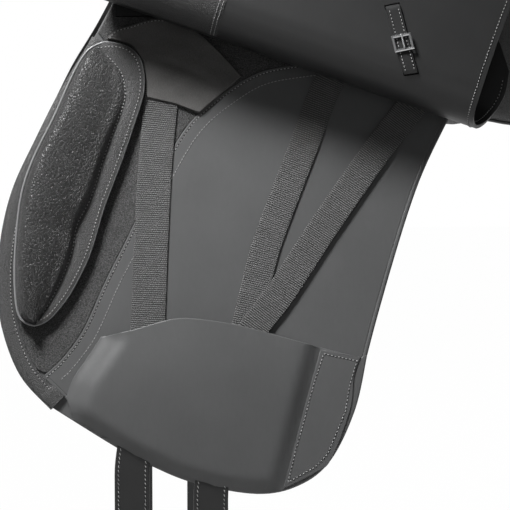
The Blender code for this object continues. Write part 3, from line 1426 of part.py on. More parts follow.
def build():
    """Make every piece."""
    clear_scene()
    make_seat()
    make_seat_webbing()
    make_gullet_plate()
    make_cantle_facing()
    make_cantle_roll()
    make_pommel_facing()
    for side in SIDES:
        make_panel(side)
        make_sweat_flap(side)
        make_facing(side)
        make_loop_field(side)
        make_front_binding(side)
        make_point_pocket(side)
        make_webs(side)
        make_billet_pocket(side)
        for which in range(len(BILLET_NAMES)):
            make_billet_head(side, which)
            make_billet(side, which)
        make_knee_block(side)
        fuse_hook_patch(side)
        make_flap_root(side)
        make_flap_bend(side)
        make_flap_leaf(side)
        make_keeper(side)
        make_skirt(side)
        make_stirrup_bar(side)
        make_bar_catch(side)
        make_dee(side)


build()
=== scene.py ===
"""Dressage saddle with its near flap folded up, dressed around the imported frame.

Side pieces are cut flat, as a saddler cuts them: x along the saddle, v up the
flap, n out from the inner face of the sweat flap. Side.wrap() then lays them
round the side of the saddle. The outer flap is cut in fold coordinates: a along
the fold line, q below it.
"""

import logging
import math
from collections.abc import Callable, Sequence
from dataclasses import dataclass, field
from enum import Enum

import bpy
import numpy as np
from mathutils import Matrix, Vector


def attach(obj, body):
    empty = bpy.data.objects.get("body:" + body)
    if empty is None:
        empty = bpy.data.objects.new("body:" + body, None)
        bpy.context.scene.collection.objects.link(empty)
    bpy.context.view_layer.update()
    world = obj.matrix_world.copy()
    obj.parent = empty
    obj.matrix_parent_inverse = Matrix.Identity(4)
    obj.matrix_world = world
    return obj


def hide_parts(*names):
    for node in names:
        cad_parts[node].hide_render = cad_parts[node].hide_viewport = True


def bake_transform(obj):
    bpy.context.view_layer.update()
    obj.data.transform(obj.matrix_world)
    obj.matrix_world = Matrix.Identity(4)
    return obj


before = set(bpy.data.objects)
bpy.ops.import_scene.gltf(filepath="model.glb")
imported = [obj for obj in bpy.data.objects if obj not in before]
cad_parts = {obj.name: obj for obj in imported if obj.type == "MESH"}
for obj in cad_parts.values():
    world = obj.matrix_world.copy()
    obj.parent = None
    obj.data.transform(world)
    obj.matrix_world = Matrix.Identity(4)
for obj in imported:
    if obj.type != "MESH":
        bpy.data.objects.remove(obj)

LOG = logging.getLogger("saddle")
MM = 0.001
GAP = 0.3 * MM
WELD = 0.002 * MM
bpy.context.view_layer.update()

Array = np.ndarray
Piece = bpy.types.Object
Points = Sequence[tuple[float, float]]


# Finishes


class Wire:
    """A node socket that Python's own operators can add, scale and subtract."""

    def __init__(self, graph: "Graph", socket: bpy.types.NodeSocket) -> None:
        """Keep the graph and the output socket that this wire stands for."""
        self.graph = graph
        self.socket = socket

    def _maths(self, operation: str, *values: "Wire | float") -> "Wire":
        """Add one Math node that works on the given values."""
        return self.graph.add("ShaderNodeMath", {"operation": operation}, dict(enumerate(values)))

    def __add__(self, other: "Wire | float") -> "Wire":
        """Sum with another wire or a number."""
        return self._maths("ADD", self, other)

    __radd__ = __add__

    def __mul__(self, other: "Wire | float") -> "Wire":
        """Product with another wire or a number."""
        return self._maths("MULTIPLY", self, other)

    __rmul__ = __mul__

    def __sub__(self, other: "Wire | float") -> "Wire":
        """This wire less another."""
        return self._maths("SUBTRACT", self, other)

    def __rsub__(self, other: float) -> "Wire":
        """A number less this wire."""
        return self._maths("SUBTRACT", other, self)

    def wave(self) -> "Wire":
        """A wave from 0 to 1 and back, once for each whole number."""
        return self._maths("SINE", self * (2.0 * math.pi)) * 0.5 + 0.5

    def floor(self) -> "Wire":
        """The whole number below."""
        return self._maths("FLOOR", self)

    def ramp(self, low: float, high: float) -> "Wire":
        """A smooth step from 0 at low to 1 at high."""
        return self.graph.add("ShaderNodeMapRange", {"interpolation_type": "SMOOTHSTEP"},
                              {"Value": self, "From Min": low, "From Max": high})


class Graph:
    """One material's node tree and the few ways this file adds to it."""

    def __init__(self, name: str) -> None:
        """Start a material of that name with a bare Principled shader."""
        self.material = bpy.data.materials.new(name)
        self.material.use_nodes = True
        self.tree = self.material.node_tree
        self.shader = self.tree.nodes["Principled BSDF"]

    def add(self, kind: str, settings: dict | None = None, inputs: dict | None = None,
            output: int | str = 0) -> Wire:
        """Add one node.

        Args:
            kind: the node's type.
            settings: its properties, set before its sockets.
            inputs: values or wires by socket name or number.
            output: which output the wire stands for.

        Returns:
            A wire from the chosen output.
        """
        node = self.tree.nodes.new(kind)
        for key, value in (settings or {}).items():
            setattr(node, key, value)
        for key, value in (inputs or {}).items():
            self.join(value, node.inputs[key])
        return Wire(self, node.outputs[output])

    def join(self, value: "Wire | float | tuple", socket: bpy.types.NodeSocket) -> None:
        """Link a wire to a socket, or set a number or colour on it."""
        if isinstance(value, Wire):
            self.tree.links.new(value.socket, socket)
        else:
            socket.default_value = value

    def place(self, stretch: tuple[float, float, float] = (1.0, 1.0, 1.0)) -> Wire:
        """The piece's own coordinates, stretched."""
        spot = self.add("ShaderNodeTexCoord", output="Object")
        return self.add("ShaderNodeMapping", None, {"Vector": spot, "Scale": stretch})

    def noise(self, vector: Wire, scale: float, detail: float = 2.0, roughness: float = 0.5) -> Wire:
        """Noise from 0 to 1 with features of about 1 / scale metres."""
        return self.add("ShaderNodeTexNoise", None, {"Vector": vector, "Scale": scale, "Detail": detail,
                                                     "Roughness": roughness})

    def cells(self, vector: Wire, scale: float, feature: str = "F1", output: str = "Distance") -> Wire:
        """Distance to the nearest cell centre or border."""
        inputs = {"Vector": vector, "Scale": scale}
        return self.add("ShaderNodeTexVoronoi", {"feature": feature}, inputs, output)

    def tint(self, share: Wire, low: tuple, high: tuple) -> Wire:
        """A colour between two others."""
        return self.add("ShaderNodeMix", {"data_type": "RGBA"},
                        {0: share, 6: (*low, 1.0), 7: (*high, 1.0)}, 2)

    def finish(self, colour: "Wire | tuple", roughness: "Wire | float", height: Wire | None = None,
               depth: float = 0.0, metallic: float = 0.0, specular: float = 0.5) -> bpy.types.Material:
        """Wire the Principled shader.

        Args:
            colour: base colour.
            roughness: roughness, plain or varying.
            height: relief from 0 to 1.
            depth: how deep that relief is, in metres.
            metallic: 1 for bare metal.
            specular: strength of the plain reflection.

        Returns:
            The finished material.
        """
        ports = self.shader.inputs
        self.join((*colour, 1.0) if isinstance(colour, tuple) else colour, ports["Base Color"])
        self.join(roughness, ports["Roughness"])
        self.join(metallic, ports["Metallic"])
        self.join(specular, ports["Specular IOR Level"])
        if height is not None:
            bump = self.add("ShaderNodeBump", None, {"Height": height, "Distance": depth, "Strength": 1.0})
            self.join(bump, ports["Normal"])
        return self.material


def grey(level: float, warmth: float = 0.0) -> tuple[float, float, float]:
    """A near-neutral colour, a little warm or cool."""
    return (level * (1.0 + warmth), level, level * (1.0 - warmth))


@dataclass(frozen=True)
class SmoothLeather:
    """Smooth waxed leather with faint pores, clouding and rubbed places."""

    name: str
    tone: float = 0.067
    gloss: float = 0.50
    shine: float = 0.40

    def make(self) -> bpy.types.Material:
        """Build the material."""
        g = Graph(self.name)
        spot = g.place()
        cloud = g.noise(spot, 22.0, 4.0, 0.6)
        pores = g.noise(spot, 1500.0, 2.0, 0.6)
        fibre = g.noise(g.place((1.0, 1.0, 0.4)), 320.0, 3.0, 0.55)
        rub = g.noise(spot, 60.0, 3.0, 0.7).ramp(0.62, 0.85)
        shade = cloud * 0.55 + fibre * 0.3 + pores * 0.15
        colour = g.tint(shade, grey(self.tone * 0.78, -0.012), grey(self.tone * 1.20, -0.012))
        rough = cloud * 0.12 + rub * 0.08 + (self.gloss - 0.08)
        return g.finish(colour, rough, pores * 0.6 + fibre * 0.4, 0.00012, specular=self.shine)


@dataclass(frozen=True)
class PebbledLeather:
    """Leather printed with a pebble grain, its pebbles longer than wide."""

    name: str
    tone: float
    scale: float
    depth: float
    gloss: float

    def make(self) -> bpy.types.Material:
        """Build the material."""
        g = Graph(self.name)
        warp = g.place((1.0, 1.0, 0.62))
        wobble = g.noise(warp, self.scale * 0.5, 2.0)
        swirl = g.add("ShaderNodeTexNoise", None, {"Vector": warp, "Scale": self.scale * 0.45}, "Color")
        inputs = {0: swirl, 1: (0.0016,) * 3, 2: warp}
        drift = g.add("ShaderNodeVectorMath", {"operation": "MULTIPLY_ADD"}, inputs)
        pebble = g.cells(drift, self.scale, "SMOOTH_F1")
        crack = g.cells(drift, self.scale, "DISTANCE_TO_EDGE").ramp(0.0, 0.16)
        fine = g.noise(warp, 2400.0, 2.0)
        cloud = g.noise(g.place(), 30.0, 3.0)
        relief = crack * 0.8 + (1.0 - pebble) * 0.5 + wobble * 0.25 + fine * 0.06
        # The colour is darker in the cracks between pebbles: painted shade in the grain's crevices, mixed
        # with random clouding.
        shade = crack * 0.55 + cloud * 0.45
        colour = g.tint(shade, grey(self.tone * 0.55), grey(self.tone * 1.18))
        rough = (1.0 - crack) * 0.25 + cloud * 0.08 + self.gloss
        return g.finish(colour, rough, relief, self.depth, specular=0.5)


@dataclass(frozen=True)
class Suede:
    """Napped leather with brushed patches."""

    name: str
    tone: float = 0.075

    def make(self) -> bpy.types.Material:
        """Build the material."""
        g = Graph(self.name)
        nap = g.noise(g.place((1.0, 1.0, 0.5)), 900.0, 4.0, 0.75)
        brushed = g.noise(g.place((0.6, 1.0, 1.0)), 45.0, 4.0, 0.6)
        fleck = g.cells(g.place(), 1100.0).ramp(0.15, 0.5)
        colour = g.tint(nap * 0.35 + brushed * 0.5 + (1.0 - fleck) * 0.15, grey(self.tone * 0.45, 0.03),
                        grey(self.tone * 2.1, 0.02))
        return g.finish(colour, 0.95, nap * 0.7 + brushed * 0.3, 0.0006, specular=0.15)


@dataclass(frozen=True)
class LoopPile:
    """The looped face of hook and loop tape: wiry loops, with painted shade in the gaps between them."""

    name: str
    tone: float = 0.105

    def make(self) -> bpy.types.Material:
        """Build the material."""
        g = Graph(self.name)
        spot = g.place()
        loops = g.cells(spot, 760.0).ramp(0.08, 0.62)
        curl = g.noise(spot, 1300.0, 3.0, 0.8).ramp(0.36, 0.66)
        patch = g.noise(spot, 55.0, 3.0)
        # Dark where the loops part: painted shade in the gaps, mixed with random curl and patch tone.
        share = (1.0 - loops) * 0.35 + curl * 0.5 + patch * 0.15
        colour = g.tint(share, grey(self.tone * 0.18), grey(self.tone * 1.75))
        return g.finish(colour, 0.92, curl * 0.6 + (1.0 - loops) * 0.4, 0.0009, specular=0.2)


@dataclass(frozen=True)
class Webbing:
    """Woven nylon: staggered rows of weft floats with painted shade in the gaps between them, read from the
    strap's own UV map.
    """

    name: str
    tone: float = 0.115
    row: float = 1.75 * MM
    float_length: float = 1.5 * MM

    def make(self) -> bpy.types.Material:
        """Build the material."""
        g = Graph(self.name)
        uv = g.add("ShaderNodeUVMap", {"uv_map": "strap"})
        parts = g.tree.nodes.new("ShaderNodeSeparateXYZ")
        g.tree.links.new(uv.socket, parts.inputs[0])
        along, across = Wire(g, parts.outputs[0]), Wire(g, parts.outputs[1])
        uneven = g.noise(g.place(), 90.0, 3.0)
        lines = along * (1.0 / self.row) + uneven * 0.25
        stagger = lines.floor() * 0.5
        rows = lines.wave().ramp(0.12, 0.75)
        floats = (across * (1.0 / self.float_length) + stagger).wave().ramp(0.05, 0.6)
        ply = ((across + along) * (1.0 / (0.55 * MM))).wave()
        thread = rows * (floats * 0.5 + 0.5)
        wear = g.noise(g.place(), 260.0, 3.0)
        # Near black between the threads: painted shade in the gaps of the weave, plus random wear.
        share = thread * 0.75 + wear * 0.2 + ply * 0.05
        colour = g.tint(share, grey(self.tone * 0.10), grey(self.tone * 1.5))
        return g.finish(colour, 0.78, thread * 0.85 + ply * 0.15, 0.0007, specular=0.3)


@dataclass(frozen=True)
class Thread:
    """Waxed linen thread, twisted and a little uneven in tone."""

    name: str
    tone: float = 0.32

    def make(self) -> bpy.types.Material:
        """Build the material."""
        g = Graph(self.name)
        twist = g.noise(g.place(), 1900.0, 1.0)
        tired = g.noise(g.place(), 130.0, 2.0)
        colour = g.tint(twist * 0.5 + tired * 0.5, grey(self.tone * 0.5), grey(self.tone * 1.35))
        return g.finish(colour, 0.62, twist, 0.0002, specular=0.3)


@dataclass(frozen=True)
class Metal:
    """Polished or forged steel with fine marks."""

    name: str
    tone: float = 0.62
    gloss: float = 0.24
    marks: float = 0.00005

    def make(self) -> bpy.types.Material:
        """Build the material."""
        g = Graph(self.name)
        grain = g.noise(g.place((1.0, 6.0, 6.0)), 500.0, 3.0, 0.6)
        smear = g.noise(g.place(), 80.0, 3.0)
        colour = g.tint(smear, grey(self.tone * 0.85, -0.01), grey(self.tone * 1.1, -0.01))
        return g.finish(colour, grain * 0.1 + smear * 0.1 + self.gloss, grain, self.marks, metallic=1.0)


@dataclass(frozen=True)
class PlyWood:
    """Laminated beech of the tree, with long grain and a thin varnish."""

    name: str

    def make(self) -> bpy.types.Material:
        """Build the material."""
        g = Graph(self.name)
        grain = g.noise(g.place((1.0, 9.0, 9.0)), 34.0, 5.0, 0.65)
        pore = g.noise(g.place((1.0, 30.0, 30.0)), 60.0, 2.0)
        colour = g.tint(grain * 0.8 + pore * 0.2, (0.33, 0.18, 0.08), (0.60, 0.40, 0.22))
        return g.finish(colour, grain * 0.2 + 0.42, grain * 0.5 + pore * 0.5, 0.0003)


@dataclass(frozen=True)
class Foam:
    """Open-cell foam."""

    name: str

    def make(self) -> bpy.types.Material:
        """Build the material."""
        g = Graph(self.name)
        cell = g.cells(g.place(), 900.0).ramp(0.1, 0.6)
        colour = g.tint(cell, (0.62, 0.57, 0.40), (0.78, 0.73, 0.55))
        return g.finish(colour, 0.95, cell, 0.0004, specular=0.1)


class Finish(Enum):
    """Every finish on the saddle."""

    SMOOTH = SmoothLeather("smooth_leather")
    # Billet leather: its tone is set darker as painted shade, standing in for the shade on the billets below
    # the flap.
    DARK = SmoothLeather("dense_strap_leather", 0.018, 0.40, 0.30)
    # Outer flap, keeper and skirt leather: its tone is set far below the smooth leather as painted shade,
    # standing in for the shade on the folded flap's underside.
    FLAP = SmoothLeather("flap_calf", 0.020, 0.46, 0.30)
    # Flap lining: its dark tone is painted shade for the shaded underside of the raised flap.
    LINING = PebbledLeather("lining_leather", 0.028, 900.0, 0.0003, 0.45)
    # Near-black marks between stitches: painted shade standing in for the dark inside of the awl holes.
    PRICK = SmoothLeather("awl_prick_painted_shade", 0.004, 0.9)
    PIPING = SmoothLeather("pale_piping", 0.17, 0.34)
    PEBBLE = PebbledLeather("pebbled_leather", 0.045, 700.0, 0.0015, 0.38)
    PRINT = PebbledLeather("printed_leather", 0.055, 900.0, 0.0006, 0.45)
    SOFT = PebbledLeather("soft_panel_leather", 0.085, 900.0, 0.0003, 0.5)
    SUEDE = Suede("suede")
    PILE = LoopPile("loop_pile")
    WEB = Webbing("girth_webbing")
    THREAD = Thread("light_thread")
    STEEL = Metal("polished_steel")
    # Near-black steel: its dark tone is painted shade, standing in for the shade over the gullet plate under
    # the folded flap; the stirrup bars share it.
    FORGED = Metal("forged_steel", 0.03, 0.42, 0.0002)
    WOOD = PlyWood("laminated_wood")
    FOAM = Foam("seat_foam_rubber")


_made: dict[Finish, bpy.types.Material] = {}


def dress(obj: Piece, finish: Finish) -> Piece:
    """Give a piece one finish all over."""
    if finish not in _made:
        _made[finish] = finish.value.make()
    obj.data.materials.clear()
    obj.data.materials.append(_made[finish])
    return obj


# Plan curves, as arrays of points in metres


def curve(points: Points, per_span: int = 8) -> Array:
    """A smooth open curve through points in millimetres.

    Args:
        points: the points it passes.
        per_span: how many steps each span is cut into.

    Returns:
        The curve's points in metres.
    """
    p = np.array(points, float) * MM
    p = np.vstack([p[:1], p, p[-1:]])
    t = np.arange(per_span)[:, None] / per_span
    spans = []
    for i in range(1, len(p) - 2):
        a, b, c, d = p[i - 1], p[i], p[i + 1], p[i + 2]
        spans.append(0.5 * (2 * b + (c - a) * t + (2 * a - 5 * b + 4 * c - d) * t ** 2
                            + (3 * b - a - 3 * c + d) * t ** 3))
    return np.vstack([*spans, p[-2:-1]])


def line(points: Points) -> Array:
    """Straight cuts between points in millimetres."""
    return np.array(points, float) * MM


def tangents(path: Array) -> Array:
    """Unit directions along a path."""
    step = np.gradient(path, axis=0)
    return step / np.maximum(np.linalg.norm(step, axis=1, keepdims=True), 1e-12)


def lefts(path: Array) -> Array:
    """Unit directions to the left of a plan path."""
    t = tangents(path)
    return np.stack([-t[:, 1], t[:, 0]], axis=1)


def shifted(path: Array, distance: float) -> Array:
    """A plan path moved to its left."""
    return path + lefts(path) * distance


def beside(*columns: float | Array) -> Array:
    """Points from their columns, a single number standing for a whole column."""
    return np.column_stack(np.broadcast_arrays(*columns))


def at_height(path: Array, n: float | Array) -> Array:
    """Plan points with their height beside them."""
    return np.column_stack([path, np.broadcast_to(n, len(path))])


def averaged(loop: Array, passes: int) -> Array:
    """A closed loop of points, each averaged with its neighbours a number of times."""
    for _ in range(passes):
        loop = (np.roll(loop, 1, axis=0) + loop + np.roll(loop, -1, axis=0)) / 3.0
    return loop


def lengths(path: Array) -> Array:
    """Distance along a path at each of its points."""
    return np.concatenate([[0.0], np.cumsum(np.linalg.norm(np.diff(path, axis=0), axis=1))])


def evenly(path: Array, count: int) -> Array:
    """A number of points along a path, an even step apart."""
    run = lengths(path)
    at = np.linspace(0.0, run[-1], count)
    return np.stack([np.interp(at, run, path[:, k]) for k in range(path.shape[1])], axis=1)


def resample(path: Array, pitch: float) -> Array:
    """Points along a path, an even step of about one pitch apart."""
    return evenly(path, max(2, int(round(lengths(path)[-1] / pitch)) + 1))


def ring(*runs: Array) -> Array:
    """One closed outline from runs that follow each other, without doubled points."""
    joined = np.vstack(runs)
    keep = np.linalg.norm(joined - np.roll(joined, 1, axis=0), axis=1) > 0.15 * MM
    return joined[keep]


def above(path: Array, v: float) -> Array:
    """The points of a path above a height."""
    return path[path[:, 1] > v]


def smooth_step(t: Array | float, low: float, high: float) -> Array:
    """A smooth step from 0 at low to 1 at high."""
    s = np.clip((np.asarray(t, float) - low) / (high - low), 0.0, 1.0)
    return s * s * (3.0 - 2.0 * s)


# The side of the saddle


SPLAY = math.radians(14.0)
FOOT_SPLAY = math.radians(8.0)
HALF_WIDTH = 140.0 * MM
FLAT_TOP = 50.0 * MM
FLAT_LOW = -280.0 * MM
FOOT = -400.0 * MM
TOP_RADIUS = 90.0 * MM


class Side(Enum):
    """The near (left) and off (right) side of the saddle."""

    NEAR = "near"
    OFF = "off"

    @property
    def sign(self) -> float:
        """The sign of Y on this side."""
        return -1.0 if self is Side.NEAR else 1.0

    def wrap(self, plan: Array) -> Array:
        """Lay plan points round the side.

        Args:
            plan: rows of x, v and n.

        Returns:
            Rows of X, Y and Z.
        """
        plan = np.atleast_2d(plan)
        x, v, n = plan[:, 0], plan[:, 1], plan[:, 2]
        bend = (SPLAY - FOOT_SPLAY) / (FLAT_LOW - FOOT)
        up = np.maximum(v - FLAT_TOP, 0.0) / TOP_RADIUS
        down = np.maximum(FLAT_LOW - v, 0.0) * bend
        angle = SPLAY + up - down
        flat = np.clip(v, FLAT_LOW, FLAT_TOP)
        y = HALF_WIDTH - flat * math.sin(SPLAY)
        z = flat * math.cos(SPLAY)
        y = y + np.where(up > 0, TOP_RADIUS * (np.cos(angle) - math.cos(SPLAY)), 0.0)
        z = z + np.where(up > 0, TOP_RADIUS * (np.sin(angle) - math.sin(SPLAY)), 0.0)
        y = y + np.where(down > 0, (np.cos(angle) - math.cos(SPLAY)) / bend, 0.0)
        z = z - np.where(down > 0, (math.sin(SPLAY) - np.sin(angle)) / bend, 0.0)
        return np.stack([x, self.sign * (y + n * np.cos(angle)), z + n * np.sin(angle)], axis=1)

    def name(self, piece: str) -> str:
        """The name of a piece on this side."""
        return f"{self.value}_{piece}"

    @property
    def down(self) -> Array:
        """Unit vector down the flat of the flap."""
        return np.array([0.0, self.sign * math.sin(SPLAY), -math.cos(SPLAY)])

    @property
    def out(self) -> Array:
        """Unit vector out of the flat of the flap."""
        return np.array([0.0, self.sign * math.cos(SPLAY), math.sin(SPLAY)])


WRAP_CUTS = [FLAT_TOP + k * 6.0 * MM for k in range(18)] + [FLAT_LOW - k * 12.0 * MM for k in range(10)]


# Modelling at the bench


def deselect() -> None:
    """Leave edit mode and select nothing."""
    if bpy.context.object and bpy.context.object.mode != "OBJECT":
        bpy.ops.object.mode_set(mode="OBJECT")
    bpy.ops.object.select_all(action="DESELECT")


def activate(obj: Piece) -> None:
    """Select one object alone and make it active."""
    deselect()
    obj.select_set(True)
    bpy.context.view_layer.objects.active = obj


def coords(obj: Piece) -> Array:
    """An object's vertex positions."""
    co = np.empty(len(obj.data.vertices) * 3)
    obj.data.vertices.foreach_get("co", co)
    return co.reshape(-1, 3)


def set_coords(obj: Piece, co: Array) -> None:
    """Move an object's vertices."""
    obj.data.vertices.foreach_set("co", np.asarray(co, np.float64).ravel())
    obj.data.update()


def modify(obj: Piece, kind: str, **settings: object) -> None:
    """Add one modifier and apply it."""
    activate(obj)
    step = obj.modifiers.new(kind.lower(), kind)
    for key, value in settings.items():
        setattr(step, key, value)
    bpy.ops.object.modifier_apply(modifier=step.name)


def smooth(obj: Piece, angle: float) -> None:
    """Shade smooth, with sharp edges past an angle."""
    activate(obj)
    bpy.ops.object.shade_smooth_by_angle(angle=math.radians(angle))


def edit_all() -> None:
    """Enter edit mode on the active object with everything selected."""
    bpy.ops.object.mode_set(mode="EDIT")
    bpy.ops.mesh.select_all(action="SELECT")


def close_edit() -> None:
    """Turn every face of the edited mesh outwards and leave edit mode."""
    bpy.ops.mesh.select_all(action="SELECT")
    bpy.ops.mesh.normals_make_consistent(inside=False)
    bpy.ops.object.mode_set(mode="OBJECT")


def shade(obj: Piece, angle: float) -> None:
    """Turn every face outwards and shade smooth, with sharp edges past an angle."""
    activate(obj)
    edit_all()
    close_edit()
    smooth(obj, angle)


def put_in_scene(name: str, data: bpy.types.ID) -> Piece:
    """Make an object of new data and link it to the scene."""
    obj = bpy.data.objects.new(name, data)
    bpy.context.scene.collection.objects.link(obj)
    return obj


def cut_away(obj: Piece, tool: Piece) -> None:
    """Cut a tool's shape out of a piece, and remove the tool."""
    modify(obj, "BOOLEAN", operation="DIFFERENCE", object=tool, solver="EXACT")
    bpy.data.objects.remove(tool, do_unlink=True)


def raise_by(obj: Piece, height: Callable[[Array], Array]) -> None:
    """Raise a flat piece by a height that its own points decide."""
    co = coords(obj)
    co[:, 2] += height(co)
    set_coords(obj, co)


@dataclass(frozen=True)
class Edge:
    """How a leather edge is finished."""

    round_off: float = 0.5 * MM
    crease_at: float = 0.0
    crease_depth: float = 0.3 * MM


def cut_leather(name: str, outline: Array, low: float, high: float, edge: Edge = Edge(),
                x_cuts: Sequence[float] = (), v_cuts: Sequence[float] = (),
                tilted: Sequence[tuple[Array, Array]] | None = None) -> Piece:
    """Cut a piece of leather flat, give it its thickness, round its edge and crease a line inside it.

    Args:
        name: the piece's name.
        outline: closed plan outline.
        low: height of its lower face.
        high: height of its upper face.
        edge: how its rim is finished.
        x_cuts: extra cuts across x.
        v_cuts: extra cuts across v.
        tilted: cuts of its own as a point and a normal, in place of those for the side's curve.

    Returns:
        The piece, still flat.
    """
    deselect()
    bpy.ops.mesh.primitive_circle_add(vertices=len(outline), radius=0.1, fill_type="NGON")
    obj = bpy.context.object
    obj.name = obj.data.name = name
    set_coords(obj, at_height(outline, low))
    edit_all()
    bpy.ops.mesh.extrude_region_move(TRANSFORM_OT_translate={"value": (0.0, 0.0, high - low)})
    bpy.ops.mesh.bevel(offset=edge.round_off, segments=3, affect="EDGES")
    select_top(obj, high)
    bpy.ops.mesh.inset(thickness=max(edge.crease_at - edge.round_off, 0.4 * MM), use_even_offset=False)
    if edge.crease_at:
        for depth in (-edge.crease_depth, edge.crease_depth, 0.0):
            bpy.ops.mesh.inset(thickness=0.45 * MM, depth=depth, use_even_offset=False)
    spans = (outline[:, 1].min(), outline[:, 1].max())
    levels = [v for v in sorted({*v_cuts, *WRAP_CUTS}) if spans[0] < v < spans[1]]
    cuts = [((0.0, v), (0.0, 1.0)) for v in levels] if tilted is None else list(tilted)
    for spot, normal in cuts + [((x, 0.0), (1.0, 0.0)) for x in x_cuts]:
        bpy.ops.mesh.select_all(action="SELECT")
        bpy.ops.mesh.bisect(plane_co=(*spot, 0.0), plane_no=(*normal, 0.0))
    close_edit()
    return obj


def select_top(obj: Piece, height: float) -> None:
    """In edit mode, select only the faces that lie flat at a height."""
    bpy.ops.object.mode_set(mode="OBJECT")
    for part in (obj.data.vertices, obj.data.edges, obj.data.polygons):
        part.foreach_set("select", [False] * len(part))
    for face in obj.data.polygons:
        face.select = abs(face.center.z - height) < 1e-6 and abs(face.normal.z) > 0.99
    bpy.ops.object.mode_set(mode="EDIT")
    bpy.ops.mesh.select_mode(type="FACE")


def sheet_grid(name: str, across: int, along: int) -> Piece:
    """A plane of across by along cells, its vertices in rows of across + 1."""
    deselect()
    bpy.ops.mesh.primitive_grid_add(x_subdivisions=across, y_subdivisions=along, size=1.0)
    obj = bpy.context.object
    obj.name = obj.data.name = name
    return obj


def loft(name: str, rings: Array, angle: float | None = None, caps: bool = True,
         uv: Array | None = None) -> Piece:
    """Skin a run of closed rings.

    Args:
        name: the piece's name.
        rings: positions, by ring, then round the ring.
        angle: past which an edge stays sharp, or None to leave the shading flat.
        caps: close the first and the last ring.
        uv: a UV for each position, kept in a map named strap.

    Returns:
        The skinned piece, facing outwards.
    """
    rings = np.asarray(rings, float)
    rings = np.concatenate([rings, rings[:, :1]], axis=1)
    count, width = rings.shape[:2]
    obj = sheet_grid(name, width - 1, count - 1)
    set_coords(obj, rings.reshape(-1, 3))
    if uv is not None:
        marks = np.concatenate([uv, uv[:, :1]], axis=1).reshape(-1, 2)
        corners = np.empty(len(obj.data.loops), int)
        obj.data.loops.foreach_get("vertex_index", corners)
        layer = obj.data.uv_layers.new(name="strap")
        layer.data.foreach_set("uv", marks[corners].ravel())
    edit_all()
    bpy.ops.mesh.remove_doubles(threshold=WELD)
    if caps:
        bpy.ops.mesh.select_all(action="DESELECT")
        bpy.ops.mesh.select_mode(type="EDGE")
        bpy.ops.mesh.select_non_manifold(extend=False)
        bpy.ops.mesh.fill_holes(sides=0)
    close_edit()
    if angle is not None:
        smooth(obj, angle)
    return obj


def tube(name: str, points: Array, radius: float, sides: int = 10, closed: bool = False) -> Piece:
    """A round cord or wire along points."""
    line_data = bpy.data.curves.new(name, "CURVE")
    line_data.dimensions = "3D"
    spline = line_data.splines.new("POLY")
    spline.points.add(len(points) - 1)
    spline.points.foreach_set("co", np.column_stack([points, np.ones(len(points))]).ravel())
    spline.use_cyclic_u = closed
    line_data.bevel_depth = radius
    line_data.bevel_resolution = max(0, sides // 2 - 2)
    line_data.use_fill_caps = True
    activate(put_in_scene(name, line_data))
    bpy.ops.object.convert(target="MESH")
    obj = bpy.context.object
    obj.name = obj.data.name = name
    shade(obj, 60.0)
    return obj


def copies(name: str, master: Piece, frames: Array) -> Piece:
    """One mesh holding a copy of a small master shape at each frame.

    Args:
        name: the new piece's name.
        master: the shape, which is removed afterwards.
        frames: one 3 by 4 matrix for each copy.

    Returns:
        The new piece.
    """
    shape = coords(master)
    faces = [tuple(p.vertices) for p in master.data.polygons]
    moved = np.einsum("kij,nj->kni", frames[:, :, :3], shape) + frames[:, None, :, 3]
    mesh = bpy.data.meshes.new(name)
    count = len(shape)
    all_faces = [tuple(i + k * count for i in face) for k in range(len(frames)) for face in faces]
    mesh.from_pydata(moved.reshape(-1, 3).tolist(), [], all_faces)
    mesh.shade_smooth()
    bpy.data.objects.remove(master, do_unlink=True)
    return put_in_scene(name, mesh)


@dataclass(frozen=True)
class Seam:
    """A row of hand stitches."""

    pitch: float = 3.0 * MM
    length: float = 2.2 * MM
    width: float = 0.62 * MM
    slant: float = 0.0
    sink: float = 0.1 * MM
    pricks: bool = False

    def sew(self, name: str, path: Array, normals: Array) -> Piece:
        """Lay stitches along a path on a surface.

        Args:
            name: the row's name.
            path: points on the surface, one stitch each.
            normals: the surface's normal at each point.

        Returns:
            The row of stitches.
        """
        ahead = tangents(path)
        up = normals / np.linalg.norm(normals, axis=1, keepdims=True)
        side = np.cross(up, ahead)
        side /= np.linalg.norm(side, axis=1, keepdims=True)
        ahead = np.cross(side, up)
        turn, rise = math.cos(self.slant), math.sin(self.slant)
        first = ahead * turn + side * rise
        second = side * turn - ahead * rise
        middle = path + up * (self.width * 0.45 - self.sink)
        frames = np.stack([first, second, up, middle], axis=2)
        row = self.repeat(name, frames, self.length, 0.9, Finish.THREAD)
        # The pricks are near-black marks between the stitches: painted shade for the dark inside of the awl
        # holes.
        if self.pricks:
            between = np.stack([first, second, up, path - up * 0.05 * MM], axis=2)
            between = (between[1:] + between[:-1]) / 2.0
            free = self.pitch - self.length * 0.75
            holes = self.repeat(f"{name}_pricks", between, free, 0.35, Finish.PRICK)
            activate(row)
            holes.select_set(True)
            bpy.ops.object.join()
        return row

    def repeat(self, name: str, frames: Array, length: float, tall: float, finish: Finish) -> Piece:
        """Repeat one small rounded shape at each frame."""
        deselect()
        bpy.ops.mesh.primitive_uv_sphere_add(segments=6, ring_count=5, radius=0.5)
        master = bpy.context.object
        set_coords(master, coords(master)[:, [2, 0, 1]] * [length, self.width, self.width * tall])
        return dress(copies(name, master, frames), finish)


FINE = Seam()
DOTTED = Seam(pitch=3.0 * MM, length=1.7 * MM, width=0.85 * MM, pricks=True)
TWISTED = Seam(pitch=3.4 * MM, length=2.5 * MM, width=0.75 * MM, slant=math.radians(24.0))


